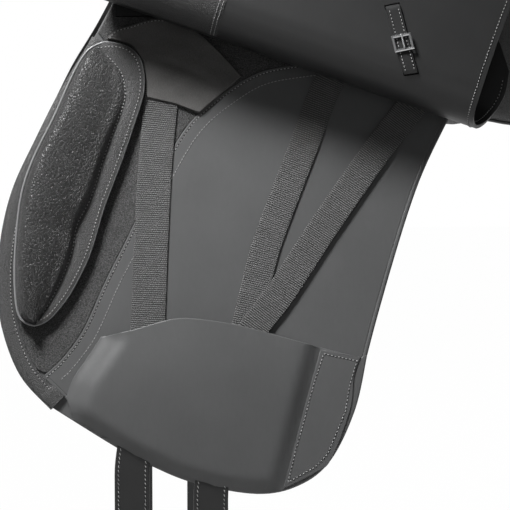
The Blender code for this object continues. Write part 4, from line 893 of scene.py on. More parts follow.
def fix(obj: Piece, finish: Finish, body: str = "saddle", replaces: Sequence[str] = ()) -> Piece:
    """Dress a finished piece, and let it ride on a body."""
    dress(obj, finish)
    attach(obj, body)
    if replaces:
        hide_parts(*replaces)
    LOG.info("%s: %d faces on %s", obj.name, len(obj.data.polygons), body)
    return obj


def ride_all(objs: Sequence[Piece], body: str) -> None:
    """Let several finished pieces ride on one body."""
    for obj in objs:
        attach(obj, body)


# Stack heights above the inner face of the sweat flap


@dataclass(frozen=True)
class Stack:
    """Thicknesses of the side's layers and the heights they add up to."""

    sweat: float = 3.0 * MM
    facing: float = 1.5 * MM
    loop: float = 1.3 * MM
    web: float = 1.2 * MM
    billet: float = 3.0 * MM
    wall: float = 2.2 * MM
    point: float = 3.6 * MM
    flap: float = 3.6 * MM
    skirt: float = 3.0 * MM

    @property
    def facing_low(self) -> float:
        """Under the facing."""
        return self.sweat + GAP

    @property
    def facing_top(self) -> float:
        """Top of the facing."""
        return self.facing_low + self.facing

    @property
    def strap_low(self) -> float:
        """Under the webs."""
        return self.facing_top + GAP

    @property
    def guard_top(self) -> float:
        """Top of the billet guard."""
        return self.strap_low + self.billet + 1.5 * GAP + self.wall

    @property
    def point_top(self) -> float:
        """Top of the point pocket."""
        return self.strap_low + self.point

    @property
    def flap_mid(self) -> float:
        """Middle of the outer flap."""
        return self.point_top + GAP + self.flap / 2.0

    @property
    def skirt_low(self) -> float:
        """Under the skirt."""
        return self.flap_mid + self.flap / 2.0 + GAP


STACK = Stack()

FRONT_EDGE = curve([(-166, 38), (-175, 18), (-193, -16), (-214, -52), (-235, -95), (-252, -133), (-261, -169),
                    (-264.5, -208), (-261, -247), (-246, -287), (-221, -315)])
BOTTOM_EDGE = curve([(-221, -315), (-170, -347), (-141, -362.5), (-106, -376.5), (-56, -385.5), (-22, -379),
                     (4, -359), (24.5, -318), (35, -274)])
REAR_EDGE = curve([(35, -274), (44, -242), (59.5, -191), (74.5, -146), (88.5, -112), (112, -66)], 4)
ARC_EDGE = curve([(-227, -288), (-213, -275), (-196, -251), (-179, -213), (-165, -185), (-144.5, -143),
                  (-124, -103), (-105, -75.5), (-77, -52), (-48.5, -36), (-11, -29), (30, -25)])
POCKET_BRIM = curve([(-182, -258), (-158, -254), (-125, -245), (-105, -244.5), (-78, -248.5), (-56, -253.5),
                     (-22, -263), (29.5, -276)])


@dataclass
class SidePart:
    """A sub-assembly on one side of the saddle."""

    side: Side

    def name(self, piece: str) -> str:
        """The name of one of its pieces."""
        return self.side.name(piece)

    def lay(self, obj: Piece, finish: Finish, node: str = "", slot: str = "smooth_leather",
            angle: float = 35.0) -> None:
        """Wrap a flat piece round the side, in place of a node if one is named, and fix it to the saddle."""
        set_coords(obj, self.side.wrap(coords(obj)))
        shade(obj, angle)
        fix(obj, finish, replaces=[self.name(node)] if node else ())

    def plan_seam(self, name: str, path: Array, height: float | Callable[[Array], Array], seam: Seam = FINE,
                  slot: str = "smooth_leather") -> None:
        """Sew along a plan path on the side of the saddle.

        Args:
            name: the row's name, without its side.
            path: plan points in metres.
            height: the surface's n, plain or from plan points.
            seam: the kind of stitch.
            slot: the material slot of what it is sewn to; not used.
        """
        flat = resample(path, seam.pitch)
        n = height(flat) if callable(height) else height
        foot = self.side.wrap(at_height(flat, n))
        head = self.side.wrap(at_height(flat, n + 1.0 * MM))
        ride_all([seam.sew(self.name(name), foot, head - foot)], "saddle")


@dataclass
class SweatFlap(SidePart):
    """The sweat flap with its facing, loop field and bound front edge."""

    binding_width: float = 12.0 * MM
    # The binding ends here so that the loop pile, laid as painted shade, covers the edge above it.
    binding_top: float = -6.0 * MM
    tab: float = 12.0 * MM
    seam_in: float = 2.5 * MM
    second_seam: float = 11.5 * MM
    loops_in: float = 1.5 * MM

    def build(self) -> None:
        """Model and dress the layers, from the inside out."""
        self.flap()
        self.facing()
        self.loop_field()
        self.binding()

    def flap(self) -> None:
        """The large inner layer of smooth leather, creased round its edge."""
        top = line([(104, -30), (60, 22), (0, 44), (-120, 48), (-160, 48)])
        outline = ring(FRONT_EDGE, BOTTOM_EDGE, REAR_EDGE, top)
        obj = cut_leather(self.name("sweat_flap_leather"), outline, 0.0, STACK.sweat)
        self.lay(obj, Finish.SMOOTH, "sweat_flap")

    def facing(self) -> None:
        """The smooth facing behind the arc, with its two rows of stitches and its creased rim."""
        foot = shifted(FRONT_EDGE, self.binding_width + GAP)
        foot = foot[foot[:, 1] < ARC_EDGE[0, 1] - 2.0 * MM]
        outline = ring(foot, shifted(BOTTOM_EDGE, 0.8 * MM)[12:], shifted(REAR_EDGE, 0.8 * MM),
                       line([(100, -30), (60, 16), (34, 24)]), ARC_EDGE[::-1])
        obj = cut_leather(self.name("facing"), outline, STACK.facing_low, STACK.facing_top,
                          Edge(0.4 * MM, 2.4 * MM, 0.25 * MM))
        self.lay(obj, Finish.SMOOTH, "flap_facing")
        self.plan_seam("arc_outer_seam", shifted(ARC_EDGE, -self.seam_in), STACK.facing_top, DOTTED)
        self.plan_seam("arc_inner_seam", shifted(ARC_EDGE[4:], -self.second_seam), STACK.facing_top)

    def loop_field(self) -> None:
        """The field of loops that the knee block grips; above the binding's top it runs out to the front edge
        as painted shade, a dark surface laid where that corner is in shade.
        """
        # Above binding_top the pile reaches almost to the front edge, put there as painted shade.
        bound = FRONT_EDGE[:, 1] < self.binding_top
        left = np.vstack([shifted(FRONT_EDGE, self.loops_in)[~bound],
                          shifted(FRONT_EDGE, self.binding_width + GAP)[bound]])
        left = above(left, ARC_EDGE[0, 1] + 1.0 * MM)
        arc = above(shifted(ARC_EDGE, GAP), ARC_EDGE[0, 1] + 1.0 * MM)
        outline = ring(left, arc, line([(30, 22), (-10, 38), (-120, 42), (-158, 42)]))
        obj = cut_leather(self.name("loops"), outline, STACK.facing_low, STACK.facing_low + STACK.loop)
        self.lay(obj, Finish.PILE, "loop_field", "loop_felt")

    def binding(self) -> None:
        """The grained strip folded round the front edge, its end turned under at the foot."""
        path = FRONT_EDGE[FRONT_EDGE[:, 1] < self.binding_top]
        path = resample(path, 2.5 * MM)
        inward = lefts(path)
        low, top = STACK.facing_low, STACK.facing_low + 1.9 * MM
        under = -GAP - 1.9 * MM
        width = self.binding_width
        profile = [(width, low), (width, top - 0.6 * MM), (width - 0.7 * MM, top),
                   (width * 0.7, top + 0.25 * MM), (width * 0.4, top + 0.55 * MM),
                   (1.2 * MM, top + 0.3 * MM), (-0.6 * MM, top - 0.4 * MM),
                   (-1.8 * MM, top - 1.6 * MM), (-2.2 * MM, 1.5 * MM), (-1.7 * MM, -0.9 * MM),
                   (-0.5 * MM, under + 0.3 * MM), (1.5 * MM, under), (6.6 * MM, under),
                   (7.0 * MM, under + 0.5 * MM), (7.0 * MM, -GAP), (-GAP, -GAP), (-GAP, low)]
        left_over = lengths(path)[-1] - lengths(path)
        doubled = 1.0 - smooth_step(left_over, self.tab - 1.0 * MM, self.tab + 1.5 * MM)
        rings = []
        for across, n in profile:
            wider = 1.6 * MM * doubled * (across > self.tab / 2.0)
            q = path + inward * (across + wider)[:, None]
            rings.append(self.side.wrap(at_height(q, n + 0.8 * MM * doubled * (n > low))))
        obj = loft(self.name("binding"), np.stack(rings, axis=1), 50.0)
        fix(obj, Finish.PRINT, replaces=[self.name("front_binding")])
        row = (path + inward * (width - 3.0 * MM))[2:-6]
        self.plan_seam("binding_seam", row, top + 0.2 * MM, DOTTED, "grain_leather")


@dataclass
class PointPocket(SidePart):
    """The suede pocket over the head of the front web, with a soft crease across it."""

    crease: Points = ((-148, -25), (-141, -27), (-120, -31.5), (-98, -42.5), (-84, -53))
    crease_depth: float = 1.3 * MM

    def rise(self, plan: Array) -> Array:
        """How far the soft suede lies off its mean height."""
        crease = resample(curve(self.crease), 1.5 * MM)
        away = plan[:, None, :2] - crease[None]
        near = np.argmin(np.linalg.norm(away, axis=2), axis=1)
        rel, ahead = away[np.arange(len(plan)), near], tangents(crease)[near]
        across = rel[:, 1] * ahead[:, 0] - rel[:, 0] * ahead[:, 1]
        inside = smooth_step(near / len(crease), 0.02, 0.4)
        fold = np.exp(-(across / (2.4 * MM)) ** 2) * inside
        swell = np.exp(-((across - 8.0 * MM) / (7.0 * MM)) ** 2) * inside
        x, v = plan[:, 0], plan[:, 1]
        wander = np.sin(x * 260.0 + v * 140.0) * np.sin(v * 330.0 - x * 90.0)
        return 0.5 * MM * swell - self.crease_depth * fold + 0.25 * MM * wander

    def build(self) -> None:
        """Cut the suede, crease it and sew its upper edge."""
        top = curve([(-177, -9), (-170, -1.5), (-158, 2), (-146, 6), (-135, 8), (-120, 6), (-105, -0.5),
                     (-84, -20.5), (-66, -41)])
        low = line([(-101, -72), (-121.5, -64), (-144, -59), (-145, -48), (-146.5, -29), (-156, -14),
                    (-168, -10.5)])
        outline = ring(top, resample(low, 5.0 * MM))
        obj = cut_leather(self.name("point_suede"), outline, 0.0, STACK.point - 0.6 * MM, Edge(0.8 * MM),
                          x_cuts=np.arange(-175, -66, 3.0) * MM, v_cuts=np.arange(-70, 8, 3.0) * MM)
        share = np.clip(coords(obj)[:, 2] / STACK.point, 0.0, 1.0)
        raise_by(obj, lambda co: STACK.strap_low + self.rise(co) * share)
        self.lay(obj, Finish.SUEDE, "point_pocket", "suede", 60.0)
        height = lambda flat: self.rise(flat) + STACK.strap_low + STACK.point - 0.6 * MM
        self.plan_seam("point_seam", shifted(top, -1.8 * MM)[2:40], height, DOTTED, "suede")


@dataclass(frozen=True)
class Strap:
    """A flat strap along a plan path, square or rounded at its edges."""

    path: Array
    width: float
    low: float
    high: float
    cells: int = 10
    round_off: float = 0.5 * MM

    def profile(self) -> Array:
        """Its cross-section as rows of offset across and height."""
        half, r = self.width / 2.0, self.round_off
        top = [(w, self.high) for w in np.linspace(-half + r, half - r, self.cells + 1)]
        right = [(half - 0.3 * r, self.high - 0.3 * r), (half, self.high - r), (half, self.low + r),
                 (half - r, self.low)]
        return np.array(top + right + [(-w, n) for w, n in right[::-1]])

    def build(self, side: Side, name: str) -> Piece:
        """Skin the strap and lay it round the side, with its own length and width as a UV map."""
        path = resample(self.path, 5.0 * MM)
        left, run = lefts(path), lengths(path)
        rings, marks = [], []
        for w, n in self.profile():
            rings.append(side.wrap(at_height(path + left * w, n)))
            marks.append(at_height(run, w))
        return loft(side.name(name), np.stack(rings, axis=1), 50.0, uv=np.stack(marks, axis=1))


@dataclass
class Webs(SidePart):
    """The three girth webs that come down from the tree to the billets."""

    def build(self) -> None:
        """Weave the front web, the rear web and the web that crosses over it."""
        low, high = STACK.strap_low, STACK.strap_low + STACK.web
        over = high + GAP
        front = curve([(-129, -28), (-137, -110), (-141, -180), (-144, -250), (-148, -300)])
        rear = curve([(28, -20), (8, -43), (-17, -106), (-40, -165), (-50, -195), (-63, -247), (-79, -308)])
        cross = curve([(103, -36), (76, -66), (41, -111), (1.5, -167), (-13, -189), (-37, -225), (-58, -252),
                       (-72, -276)])
        for name, path, width, base in (("front_web", front, 28.0, low), ("rear_web", rear, 24.0, low),
                                        ("crossing_web", cross, 24.0, over)):
            obj = Strap(path, width * MM, base, base + high - low).build(self.side, f"{name}_weave")
            fix(obj, Finish.WEB, replaces=[self.name(name)])


@dataclass
class BilletGuard(SidePart):
    """The leather guard over the billet heads: open at its brim, sewn flat at its rear patch, left plain."""

    fall: float = 13.0 * MM
    bulge: float = 7.5 * MM
    bulge_at: tuple[float, float] = (-140.0 * MM, -285.0 * MM)
    bulge_size: tuple[float, float] = (128.0 * MM, 92.0 * MM)
    patch_rise: float = 0.9 * MM

    def outline(self) -> Array:
        """The guard's whole plan outline."""
        left = curve([(-210, -307), (-204, -291), (-193, -275), (-182, -258)])
        low = shifted(BOTTOM_EDGE, 0.8 * MM)
        low = low[low[:, 0] > -206.0 * MM]
        return ring(left, POCKET_BRIM, low[::-1])

    def height(self, plan: Array) -> Array:
        """The guard's top over the plan: raised over the billets, down on the facing at its seams."""
        away = lambda edge: np.min(np.linalg.norm(plan[:, None, :2] - edge[None], axis=2), axis=1)
        left = line([(-216, -320), (-204, -291), (-193, -275), (-181, -257)])
        gap_low, gap_left = away(BOTTOM_EDGE), away(resample(left, 2.0 * MM))
        seam_x = -4.0 * MM + (plan[:, 1] + 270.0 * MM) * 0.28
        gap_patch = np.maximum(seam_x - plan[:, 0], 0.0)
        share = (smooth_step(gap_low, 0.0, self.fall) * smooth_step(gap_left, 0.0, self.fall * 1.6)
                 * smooth_step(gap_patch, 0.0, self.fall))
        base = STACK.strap_low + STACK.wall
        rel = (plan[:, :2] - np.array(self.bulge_at)) / np.array(self.bulge_size)
        swell = np.exp(-np.sum(rel * rel, axis=1)) * share
        return base + (STACK.guard_top - base) * share + self.bulge * swell

    def build(self) -> None:
        """Shape the guard, its rear patch and its stitches."""
        obj = cut_leather(self.name("billet_guard"), self.outline(), -STACK.wall, 0.0, Edge(0.6 * MM),
                          x_cuts=np.arange(-205, 36, 5.0) * MM, v_cuts=np.arange(-384, -244, 4.0) * MM)
        raise_by(obj, self.height)
        self.lay(obj, Finish.SMOOTH, "billet_pocket", angle=50.0)
        self.patch()

    def patch(self) -> None:
        """The sewn patch behind the billets."""
        rear = curve([(29.0, -275.5), (23.5, -292), (20, -318), (4, -358), (-8, -368), (-32, -380)])
        front = line([(-35, -381), (-28, -356), (-21, -330), (-12, -298), (-3.5, -269.5)])
        outline = ring(rear, front)
        low = STACK.strap_low + STACK.wall + 0.05 * MM
        obj = cut_leather(self.name("guard_patch"), outline, low, low + self.patch_rise, Edge(0.35 * MM))
        self.lay(obj, Finish.SMOOTH)
        inner = line([(26.0, -279), (19.5, -300), (16, -320), (1, -354), (-9, -364), (-31, -376), (-25, -352),
                      (-18, -328), (-9.5, -298), (-1, -273), (26.0, -279)])
        self.plan_seam("guard_patch_seam", inner, low + self.patch_rise, DOTTED)


@dataclass
class Billet(SidePart):
    """One long billet strap, from under the guard down to its point."""

    which: int
    width: float = 28.0 * MM
    heads: tuple[float, float] = (-150.0 * MM, -86.0 * MM)
    hinges: Points = ((-157.0 * MM, -369.0 * MM), (-93.5 * MM, -389.0 * MM))
    head_lengths: tuple[float, float] = (57.0 * MM, 72.0 * MM)
    soft: float = 7.0 * MM
    drop: float = 285.0 * MM
    holes: int = 10
    hole_pitch: float = 20.0 * MM
    hole_radius: float = 2.2 * MM
    first_hole: float = 35.0 * MM
    seam_in: float = 3.2 * MM

    @property
    def label(self) -> str:
        """Front or rear."""
        return ("front_billet", "rear_billet")[self.which]

    def spot(self, flat: Array) -> Array:
        """Place points given as offset across, distance below the hinge and height off the strap's middle."""
        x_head, (x_hinge, v_hinge) = self.heads[self.which], self.hinges[self.which]
        across, s, n = flat[:, 0], flat[:, 1], flat[:, 2]
        middle = STACK.strap_low + STACK.billet / 2.0
        lean = smooth_step(-s, 0.0, 60.0 * MM)
        x = x_hinge + (x_head - x_hinge) * lean + across
        top = self.side.wrap(beside(x, v_hinge - np.minimum(s, 0.0), middle + n))
        hang = self.side.wrap(beside(x, v_hinge, middle)) + beside(0.0, self.side.sign * n, -s)
        return np.where((s > 0.0)[:, None], hang, top)

    def build(self) -> None:
        """Cut the strap, punch it, sew its edges and hang it."""
        half, r = self.width / 2.0, 10.0 * MM
        foot = [(half * math.cos(a), self.drop - r + r * math.sin(a)) for a in np.linspace(0.0, math.pi, 17)]
        head = self.head_lengths[self.which]
        outline = np.array([(half, -head)] + foot + [(-half, -head)])
        cuts = np.array([*np.arange(-66, 12, 6.0), 20, 80, 160]) * MM
        obj = cut_leather(self.name(f"{self.label}_strap"), outline, -STACK.billet / 2, STACK.billet / 2,
                          Edge(0.7 * MM), v_cuts=cuts)
        self.punch(obj)
        set_coords(obj, self.spot(coords(obj)))
        shade(obj, 35.0)
        dress(obj, Finish.DARK)
        self.hang(obj, [self.name(self.label), self.name(f"{self.label}_head")])
        for k, edge in enumerate((-1.0, 1.0)):
            flat = np.array([(edge * (half - self.seam_in), s) for s in
                             np.arange(-30.0 * MM, self.drop - 8.0 * MM, TWISTED.pitch)])
            surface = self.spot(at_height(flat, STACK.billet / 2))
            above_it = self.spot(at_height(flat, STACK.billet / 2 + 1.0 * MM))
            self.hang(TWISTED.sew(self.name(f"{self.label}_seam_{k}"), surface, above_it - surface))

    def punch(self, obj: Piece) -> None:
        """Punch the row of tongue holes."""
        deselect()
        bpy.ops.mesh.primitive_cylinder_add(vertices=18, radius=self.hole_radius, depth=20.0 * MM)
        pin = bpy.context.object
        pin.location = (0.0, self.drop - self.first_hole, 0.0)
        modify(pin, "ARRAY", count=self.holes, use_relative_offset=False, use_constant_offset=True,
               constant_offset_displace=(0.0, -self.hole_pitch, 0.0))
        cut_away(obj, pin)

    def hang(self, obj: Piece, replaced: Sequence[str] = ()) -> None:
        """Bake a piece's transform into its mesh and hide the imported parts it replaces; the bend's ends are
        worked out but not used.
        """
        ends = self.spot(np.array([(0.0, -self.soft, 0.0), (0.0, self.soft, 0.0)]))
        self.name(self.label)
        tuple(ends[0])
        tuple(ends[1])
        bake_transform(obj)
        if replaced:
            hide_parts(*replaced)


@dataclass
class KneeBlock(SidePart):
    """The thigh block: a padded bolster scooped behind its ridge, a flange sewn to it, and a piped rim."""

    base: float = 6.4 * MM
    height: float = 30.0 * MM
    flange: float = 5.0 * MM
    seam_share: float = 0.76
    stations: int = 72
    piping: float = 0.95 * MM
    seam_in: float = 2.7 * MM
    pad_in: float = 1.5 * MM
    pad_foot: float = 1.0 * MM
    tip_reach: float = 7.0 * MM
    strip_foot: float = 1.2 * MM
    strip_rise: float = 0.9 * MM
    under_pad: float = 0.6 * MM
    nose_shares: tuple[float, ...] = (0.0, 0.008, 0.02, 0.036, 0.055, 0.08)

    def edges(self) -> tuple[Array, Array, Array]:
        """The front edge, the gusset seam and the rear edge, as plan paths of equal length."""
        front = curve([(-180, -13), (-193, -20), (-205, -40), (-221, -77), (-236, -108), (-246, -137),
                       (-250.5, -170), (-252, -205), (-250.2, -234), (-245.3, -245), (-236, -249)])
        rear = curve([(-179, -12.8), (-160, -17), (-149, -30), (-147, -54), (-155, -82), (-166, -115),
                      (-179, -150), (-191, -190), (-202.7, -215), (-211.7, -229.6), (-224, -244),
                      (-235, -249)])
        seam = curve([(-184.6, -18.9), (-177, -25), (-171, -31), (-165, -40), (-162, -55), (-164, -68),
                      (-170, -84), (-180, -112), (-190, -144), (-201, -166), (-205, -187), (-212, -207),
                      (-219, -222), (-225, -233), (-232, -244)])
        return tuple(evenly(p, self.stations) for p in (front, seam, rear))

    def section(self, share: float, along: float) -> float:
        """Height over the base at a share across the block and a share along it."""
        swell = math.sin(math.pi * (0.03 + 0.92 * along)) ** 0.75
        ridge = self.flange + (self.height - self.flange) * swell
        hollow = 0.14 * math.exp(-((along - 0.16) / 0.14) ** 2)
        scoop = self.flange + (ridge - self.flange) * (0.46 - hollow)
        marks = np.array([(0, 0.9 * self.flange), (0.02, 0.50 * ridge), (0.055, 0.82 * ridge), (0.12, ridge),
                          (0.24, 0.96 * ridge), (0.42, scoop + (ridge - scoop) * 0.5), (0.58, scoop),
                          (0.70, scoop * 0.6 + self.flange * 0.4), (self.seam_share, self.flange + 0.4 * MM)])
        marks = curve(marks * [1.0, 1.0 / MM])
        return float(np.interp(share, marks[:, 0] / MM, marks[:, 1]))

    def plan(self, share: float) -> Array:
        """The pad's plan path at one share of the way to its seam, a little inside the outline."""
        front, seam, _ = self.edges()
        front = shifted(front, self.pad_in)
        along = lengths(front)
        front = front + (seam[0] - front[0]) * np.exp(-(along / self.tip_reach) ** 2)[:, None]
        k = share / self.seam_share
        return front * (1 - k) + seam * k

    def surface(self, share: float) -> Array:
        """The block's skin at one share, along its length."""
        alongs = np.arange(self.stations) / (self.stations - 1)
        heights = np.array([self.section(share, along) for along in alongs])
        return self.side.wrap(at_height(self.plan(share), self.base + heights))

    def build(self) -> None:
        """Shape the bolster, its flange, piping and seams."""
        body = self.name("block")
        shares = [*self.nose_shares, *np.linspace(0.10, 0.70, 26), 0.73, 0.75, self.seam_share]
        rings = [self.surface(s) for s in shares]
        rings += [self.side.wrap(at_height(self.plan(s), self.base + self.pad_foot))
                  for s in np.linspace(self.seam_share, 0.0, 8)]
        pad = loft(self.name("block_pad"), np.stack(rings, axis=1), 75.0)
        fix(pad, Finish.PEBBLE, body, [self.name("knee_block")])
        self.flange_strip(body)
        self.rim(body)

    def flange_strip(self, body: str) -> None:
        """The finely grained strip from the gusset seam to the rear rim, and the base under it all."""
        front, seam, rear = self.edges()
        top, foot = self.base + self.flange, self.base + self.strip_foot
        under = top - self.under_pad
        rows = [(front, under), (front * 0.5 + seam * 0.5, under), (seam, top)]
        rows += [(seam * (1 - k) + rear * k, top + self.strip_rise * math.sin(math.pi * k))
                 for k in np.linspace(0.12, 1.0, 8)]
        rows += [(rear, foot), (seam, foot), (front, foot)]
        rings = [self.side.wrap(at_height(plan, n)) for plan, n in rows]
        strip = loft(self.name("block_flange"), np.stack(rings, axis=1), 60.0)
        fix(strip, Finish.PRINT, body)

    def rim(self, body: str) -> None:
        """The piping round the outline, the stitches beside it and those of the gusset seam."""
        front, seam, rear = self.edges()
        loop = resample(np.vstack([front[::-1], rear, front[-1:]]), 4.0 * MM)[:-1]
        loop = self.side.wrap(at_height(loop, self.base + self.flange * 0.80))
        cord = tube(self.name("block_piping"), loop, self.piping, closed=True)
        fix(cord, Finish.PIPING, body)
        top, foot = round(0.08 * self.stations), round(0.78 * self.stations)
        front, rear = shifted(front, self.seam_in), shifted(rear, -self.seam_in)
        rows = [self.sew("block_rim_seam", np.vstack([front[top:1:-1], rear[2:]]), 0.4 * MM),
                self.sew("block_toe_seam", front[foot:-1], 0.4 * MM),
                self.sew("block_gusset_seam", seam[3:-2], 0.6 * MM)]
        ride_all(rows, body)

    def sew(self, name: str, path: Array, lift: float) -> Piece:
        """Sew along a plan path on the flange."""
        row = resample(path, DOTTED.pitch)
        skin = self.side.wrap(at_height(row, self.base + self.flange + lift))
        return DOTTED.sew(self.name(name), skin, np.tile(self.side.out, (len(row), 1)))


@dataclass
class Fold:
    """The bench of the outer flap: a root on the saddle, a short bend, and the leaf beyond it."""

    side: Side
    turns: tuple[float, float]
    tilt: float = math.radians(19.6)
    height: float = -45.8 * MM
    bend: float = 56.0 * MM
    arc_reach: float = 26.0 * MM

    @property
    def along(self) -> Array:
        """Unit vector along the fold."""
        return np.array([math.cos(self.tilt), 0.0, 0.0]) + self.side.down * math.sin(self.tilt)

    def flats(self) -> list[tuple[Array, Array, Array]]:
        """The three flat stretches, each as a corner with its across and out vectors."""
        across = self.side.down * math.cos(self.tilt) - np.array([math.sin(self.tilt), 0.0, 0.0])
        out = self.side.out
        corner = self.side.wrap(np.array([[0.0, self.height, STACK.flap_mid]]))[0]
        flats = [(corner, across, out)]
        for turn in self.turns:
            across, out = (across * math.cos(turn) + out * math.sin(turn),
                           out * math.cos(turn) - across * math.sin(turn))
            flats.append((corner, across, out))
            corner = corner + across * self.bend
        root, first, second = flats
        return [root, first, (first[0] + first[1] * self.bend, second[1], second[2])]

    def to_fold(self, plan: Array) -> Array:
        """Plan points as a along the fold and q below it."""
        x, down = plan[:, 0], self.height - plan[:, 1]
        c, s = math.cos(self.tilt), math.sin(self.tilt)
        return beside(x * c + down * s, down * c - x * s)

    def to_plan(self, flat: Array) -> Array:
        """Fold points as plan points."""
        c, s = math.cos(self.tilt), math.sin(self.tilt)
        a, q = flat[:, 0], flat[:, 1]
        return beside(a * c - q * s, self.height - (a * s + q * c))

    def arc(self, flat: Array, at: float, start: tuple, end: tuple, turn: float) -> Array:
        """Points within reach of a corner, on the arc that rounds it."""
        radius = self.arc_reach / math.tan(turn / 2.0)
        angle = turn * (flat[:, 1] - at + self.arc_reach) / (2.0 * self.arc_reach)
        corner = end[0] if at == 0.0 else start[0] + start[1] * self.bend
        first = corner - start[1] * self.arc_reach
        swing, rise = np.sin(angle)[:, None], (1.0 - np.cos(angle))[:, None]
        out = start[2] * np.cos(angle)[:, None] - start[1] * swing
        return (first + start[1] * radius * swing + start[2] * radius * rise + out * flat[:, 2:3]
                + self.along * flat[:, :1])

    def spot(self, flat: Array) -> Array:
        """Place fold points, given as a, q and height off the flap's middle."""
        root, first, second = self.flats()
        q, reach, bend = flat[:, 1], self.arc_reach, self.bend
        placed = self.side.wrap(at_height(self.to_plan(flat), STACK.flap_mid + flat[:, 2]))
        corners = ((0.0, root, first, self.turns[0]), (bend, first, second, self.turns[1]))
        for at, before, after, turn in corners:
            inside = np.abs(q - at) <= reach
            placed[inside] = self.arc(flat[inside], at, before, after, turn)
        for low, high, (corner, across, out), base in ((reach, bend - reach, first, 0.0),
                                                       (bend + reach, 1.0, second, bend)):
            inside = (q > low) & (q < high)
            part = flat[inside]
            placed[inside] = (corner + self.along * part[:, :1] + across * (part[:, 1:2] - base)
                              + out * part[:, 2:3])
        return placed


@dataclass
class OuterFlap(SidePart):
    """The outer flap: two halves that meet in the middle of its bend, with a lining and seams."""

    fold: Fold = field(init=False)
    split: float = 28.0 * MM
    seam_in: float = 4.5 * MM

    def __post_init__(self) -> None:
        """Raise the near flap and let the off flap hang."""
        turns = (92.0, 92.0) if self.side is Side.NEAR else (28.0, -21.0)
        self.fold = Fold(self.side, tuple(math.radians(t) for t in turns))

    def rims(self) -> tuple[Array, Array, Array, Array]:
        """Front, bottom and rear edges and the root's top, in fold coordinates."""
        front = curve([(-172, 50), (-186, 22), (-203, -12), (-224, -50), (-245, -94), (-262, -133),
                       (-271, -170), (-274, -208), (-271, -248), (-256, -290), (-228, -322)])
        bottom = curve([(-228, -322), (-175, -356), (-106, -388), (-52, -396), (-8, -386), (24, -360),
                        (44, -318), (56, -270)])
        rear = curve([(56, -270), (78, -200), (100, -140), (118, -108), (137, -83), (152, -60),
                      (157, -38)], 4)
        top = line([(150, -14), (122, 22), (80, 34), (20, 48), (-50, 62), (-95, 66), (-102, 30), (-160, 32),
                    (-168, 60)])
        return tuple(self.fold.to_fold(run) for run in (front, bottom, rear, top))

    def cuts(self) -> list[tuple[Array, Array]]:
        """Where the sheet must be cut to bend: rows across both arcs and round the top."""
        reach, bend = self.fold.arc_reach, self.fold.bend
        rows = [at + k for at in (0.0, bend) for k in np.linspace(-reach, reach, 15)]
        flat = [(np.array([0.0, q]), np.array([0.0, 1.0])) for q in rows]
        up = np.array([-math.sin(self.fold.tilt), -math.cos(self.fold.tilt)])
        for v in WRAP_CUTS[:8]:
            spot = self.fold.to_fold(np.array([[0.0, v]]))[0]
            flat.append((spot, up))
        return flat

    def build(self) -> None:
        """Cut the flap, halve it, cut the keeper's slots, bend both halves, then add lining and seams."""
        outline = ring(*self.rims())
        thick, rim = STACK.flap / 2.0, Edge(0.8 * MM, 2.0 * MM, 0.2 * MM)
        for name, keep_upper, replaced in (("flap_upper", True, ["flap_root"]),
                                           ("flap_lower", False, ["flap_bend", "flap"])):
            obj = cut_leather(self.name(name), outline, -thick, thick, rim, tilted=self.cuts())
            activate(obj)
            edit_all()
            bpy.ops.mesh.bisect(plane_co=(0.0, self.split, 0.0), plane_no=(0.0, 1.0, 0.0), use_fill=True,
                                clear_outer=keep_upper, clear_inner=not keep_upper)
            bpy.ops.object.mode_set(mode="OBJECT")
            if not keep_upper:
                Keeper(self).cut_slots(obj)
            self.hang(obj, Finish.FLAP, keep_upper, replaced)
        self.lining()
        self.seams()

    def hang(self, obj: Piece, finish: Finish, upper: bool, replaced: Sequence[str] = (),
             slot: str = "smooth_leather") -> None:
        """Bend a flat piece onto the flap, dress it, bake its transform and hide the imported parts it
        replaces.
        """
        set_coords(obj, self.fold.spot(coords(obj)))
        shade(obj, 40.0)
        dress(obj, finish)
        self.follow(obj, upper, slot)
        if replaced:
            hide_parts(*(self.name(node) for node in replaced))

    def follow(self, obj: Piece, upper: bool, slot: str = "smooth_leather") -> None:
        """Bake a piece's transform into its mesh; the ends and bodies of its half of the bend are worked out
        but not used.
        """
        bend, middle = self.fold.bend, self.fold.bend / 2.0
        rows = (-middle, middle) if upper else (middle, bend + middle)
        ends = self.fold.spot(np.array([(0.0, q, 0.0) for q in rows]))
        bodies = ("saddle", self.name("bend"), self.name("leaf"))
        pair = bodies[:2] if upper else bodies[1:]
        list(pair)
        tuple(ends[0])
        tuple(ends[1])
        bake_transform(obj)

    def lining(self) -> None:
        """The finely grained piece sewn to the front of the underside."""
        front, bottom, _, _ = self.rims()
        inner = -92.0 * MM
        front, bottom = shifted(front, -1.2 * MM), shifted(bottom, -1.2 * MM)
        front = front[front[:, 1] > self.split + 2.0 * MM]
        bottom = bottom[bottom[:, 0] < inner]
        outline = ring(front, bottom, np.array([(inner, self.split + 2.0 * MM)]))
        low = -STACK.flap / 2.0 - 0.45 * MM
        obj = cut_leather(self.name("flap_lining"), outline, low, low + 0.5 * MM, Edge(0.15 * MM),
                          tilted=self.cuts())
        self.hang(obj, Finish.LINING, False, slot="grain_leather")
        for k, inset in enumerate((2.5 * MM, 5.5 * MM)):
            self.sew(f"lining_seam_{k}", np.array([(inner - inset, q) for q in
                     np.arange(self.split + 4.0 * MM, 292.0 * MM, FINE.pitch)]), low, False, FINE)

    def sew(self, name: str, row: Array, n: float, upper: bool, seam: Seam) -> None:
        """Sew a row of fold points on one face of the flap."""
        skin = self.fold.spot(at_height(row, n))
        off = self.fold.spot(at_height(row, n + math.copysign(1.0 * MM, n)))
        self.follow(seam.sew(self.name(name), skin, off - skin), upper)

